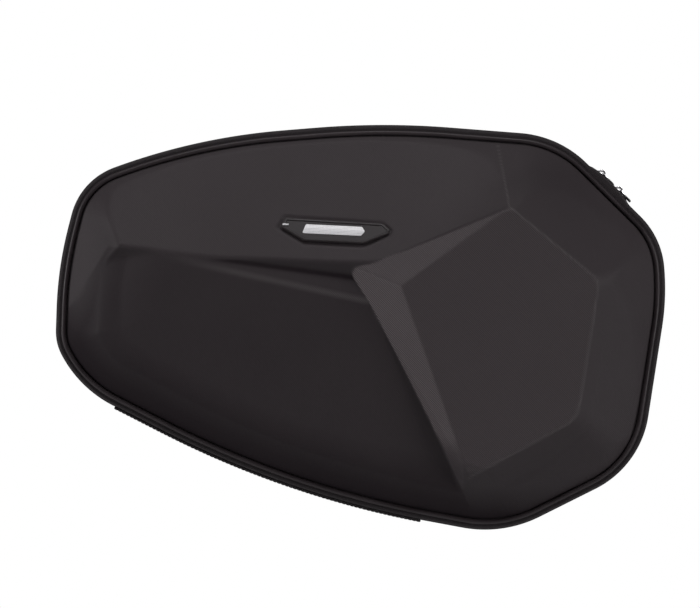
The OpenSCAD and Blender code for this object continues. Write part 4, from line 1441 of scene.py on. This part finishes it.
def retention_straps():
    """Two crossed elastic straps that hold the load down."""
    for name, node, a, b, level in (("strap_a", "retention_strap_a", (-185, 82), (148, -92), 11.0),
                                    ("strap_b", "retention_strap_b", (-165, -28), (178, 78), 12.5)):
        a, b = np.array(a, float), np.array(b, float)
        along = b - a
        t = np.linspace(0, 1, 50)
        points = [face_point(*(a + along * f), level + 0.5 * math.sin(f * math.pi)) for f in t]
        across = (-along[1], 0, along[0])
        band = loft("elastic_" + name, points, across, strip_profile(25, 1.1), ELASTIC)
        shown(band, "rear_case", node, slot="elastic")
        for k, f in enumerate((0.04, 0.96)):
            centre = face_point(*(a + along * f), level + 0.75)
            sewn = box_stitch(f"elastic_stitching_{name}{k}", centre, (along[0], 0, along[1]), across, 14, 19,
                              FORWARD)
            shown(sewn, "rear_case", slot="webbing")


POCKET_LINE = ((-230, 28), (232, -14))
POCKET_INSET = 15.7
POCKET_ROWS, POCKET_COLUMNS = 26, 60


def pocket():
    """A mesh pocket stretched over the lower half of the lid, with an elastic hem. It gives the net, the hem,
    and the net's width, height and area."""
    start, end = (np.array(q, float) for q in POCKET_LINE)
    line = unit(end - start)
    upwards = np.array([-line[1], line[0]])
    inside = RIM.p - POCKET_INSET * RIM.n
    below = inside[(inside - start) @ upwards < -0.5]
    gap = np.argmax(np.linalg.norm(np.diff(below, axis=0), axis=1)) + 1
    below = np.vstack([below[gap:], below[:gap]])
    ends = [below[0], below[-1]] if below[0][0] < below[-1][0] else [below[-1], below[0]]
    t = np.linspace(0, 1, POCKET_COLUMNS)
    left, right = (start + line * ((q - start) @ line) for q in ends)
    hem_line = left + np.outer(t, right - left)
    low_edge = np.interp(hem_line[:, 0], *zip(*sorted(map(tuple, below))))
    level = RIM_Z + 1.6
    grid = []
    for f in np.arange(POCKET_ROWS) / (POCKET_ROWS - 1):
        z = hem_line[:, 1] * (1 - f) + low_edge * f
        sag = 0.5 * np.sin(math.pi * f) * np.sin(math.pi * t) + 0.3 * np.sin(t * 40) * (1 - f) ** 3
        grid.append(np.stack([hem_line[:, 0], sag - level, z], -1) * MM)
    net = grid_mesh("pocket_net", np.array(grid), np.zeros(POCKET_COLUMNS), np.zeros(POCKET_ROWS), MESH)
    flat_uv(net)
    finish_mesh(solidify(faced(net, BACKWARD), 0.5 * MM))
    shown(net, "lid", "mesh_pocket", slot="mesh")
    across = np.linalg.norm(right - left)
    tall = hem_line[:, 1] - low_edge
    area = float(np.trapz(tall, hem_line[:, 0]))
    path = [face_point(*(left + (right - left) * f + upwards * 6),
                       level - 0.3 * math.sin(f * 40 * math.pi / 3)) for f in np.linspace(0.004, 0.996, 90)]
    hem = loft("pocket_elastic", path, (upwards[0], 0, upwards[1]), strip_profile(12, 2.0), ELASTIC)
    shown(hem, "lid", "pocket_hem", slot="elastic")
    return net, hem, across * MM, float(np.max(tall)) * MM, area * MM * MM


def badge():
    """A rubber badge with a raised border, and a plain reflective bar where a name would be."""
    x, z = BADGE_AT
    spots = np.array([[x, z], [x + 20, z], [x, z + 6]], float)
    heights, _ = lid_height(spots[:, 0], spots[:, 1], np.full(3, 90.0), detail=False)
    centre = face_point(x, z, RIM_Z + heights[0])
    right = face_point(*spots[1], RIM_Z + heights[1]) - centre
    up = face_point(*spots[2], RIM_Z + heights[2]) - centre
    normal = Vector(np.cross(right, up)).normalized()
    matrix = frame_matrix(centre, tuple(right), tuple(normal.cross(Vector(right))))
    matrix = matrix @ Matrix.Rotation(BADGE_TURN, 4, "Z")
    rim = Rim(1.0, BADGE_SHAPE)
    levels = [(0, -1.5), (0, 1.9), (0.25, 2.3), (0.8, 2.55), (1.5, 2.5), (1.9, 2.1), (2.3, 1.75)]
    points = np.array([turned(matrix, [(a, b, level) for a, b in rim.p - min(inset, 1.9) * rim.n])
                       for inset, level in levels])
    plate = grid_mesh("badge_body", points, rim.s * MM, np.arange(len(levels)) * MM, BADGE, True,
                      end_face=True, sharp=30)
    shown(faced(plate, FORWARD), "lid", "badge_plate", slot="badge_rubber")
    bar = slab_piece("badge_bar", Rim(0.8, INLAY_SHAPE).p, 1.6, 2.35, matrix, REFLECTOR, 0.25, 2)
    shown(bar, "lid", "badge_inlay", slot="reflector")
    tick_shape = [(-41.2, 2.7), (-40.8, 3.9), (-36, 3.9), (-36.4, 2.7)]
    tick = slab_piece("badge_tick", tick_shape, 1.6, 2.8, matrix, REFLECTOR, 0.2, 2)
    shown(tick, "lid", slot="reflector")


gussets()
bindings()
piping()
zips()
sliders()
bellows()
hinge()
back_panel()
antislip_pad()
back_fittings()
handle()
rings()
rear_lining()
retention_straps()
net, hem, pocket_w, pocket_h, pocket_area = pocket()
badge()

# The stiff board keeps its CAD solid, so it gets a material of its own.
bpy.data.objects["back_board"].material_slots[0].material = BOARD
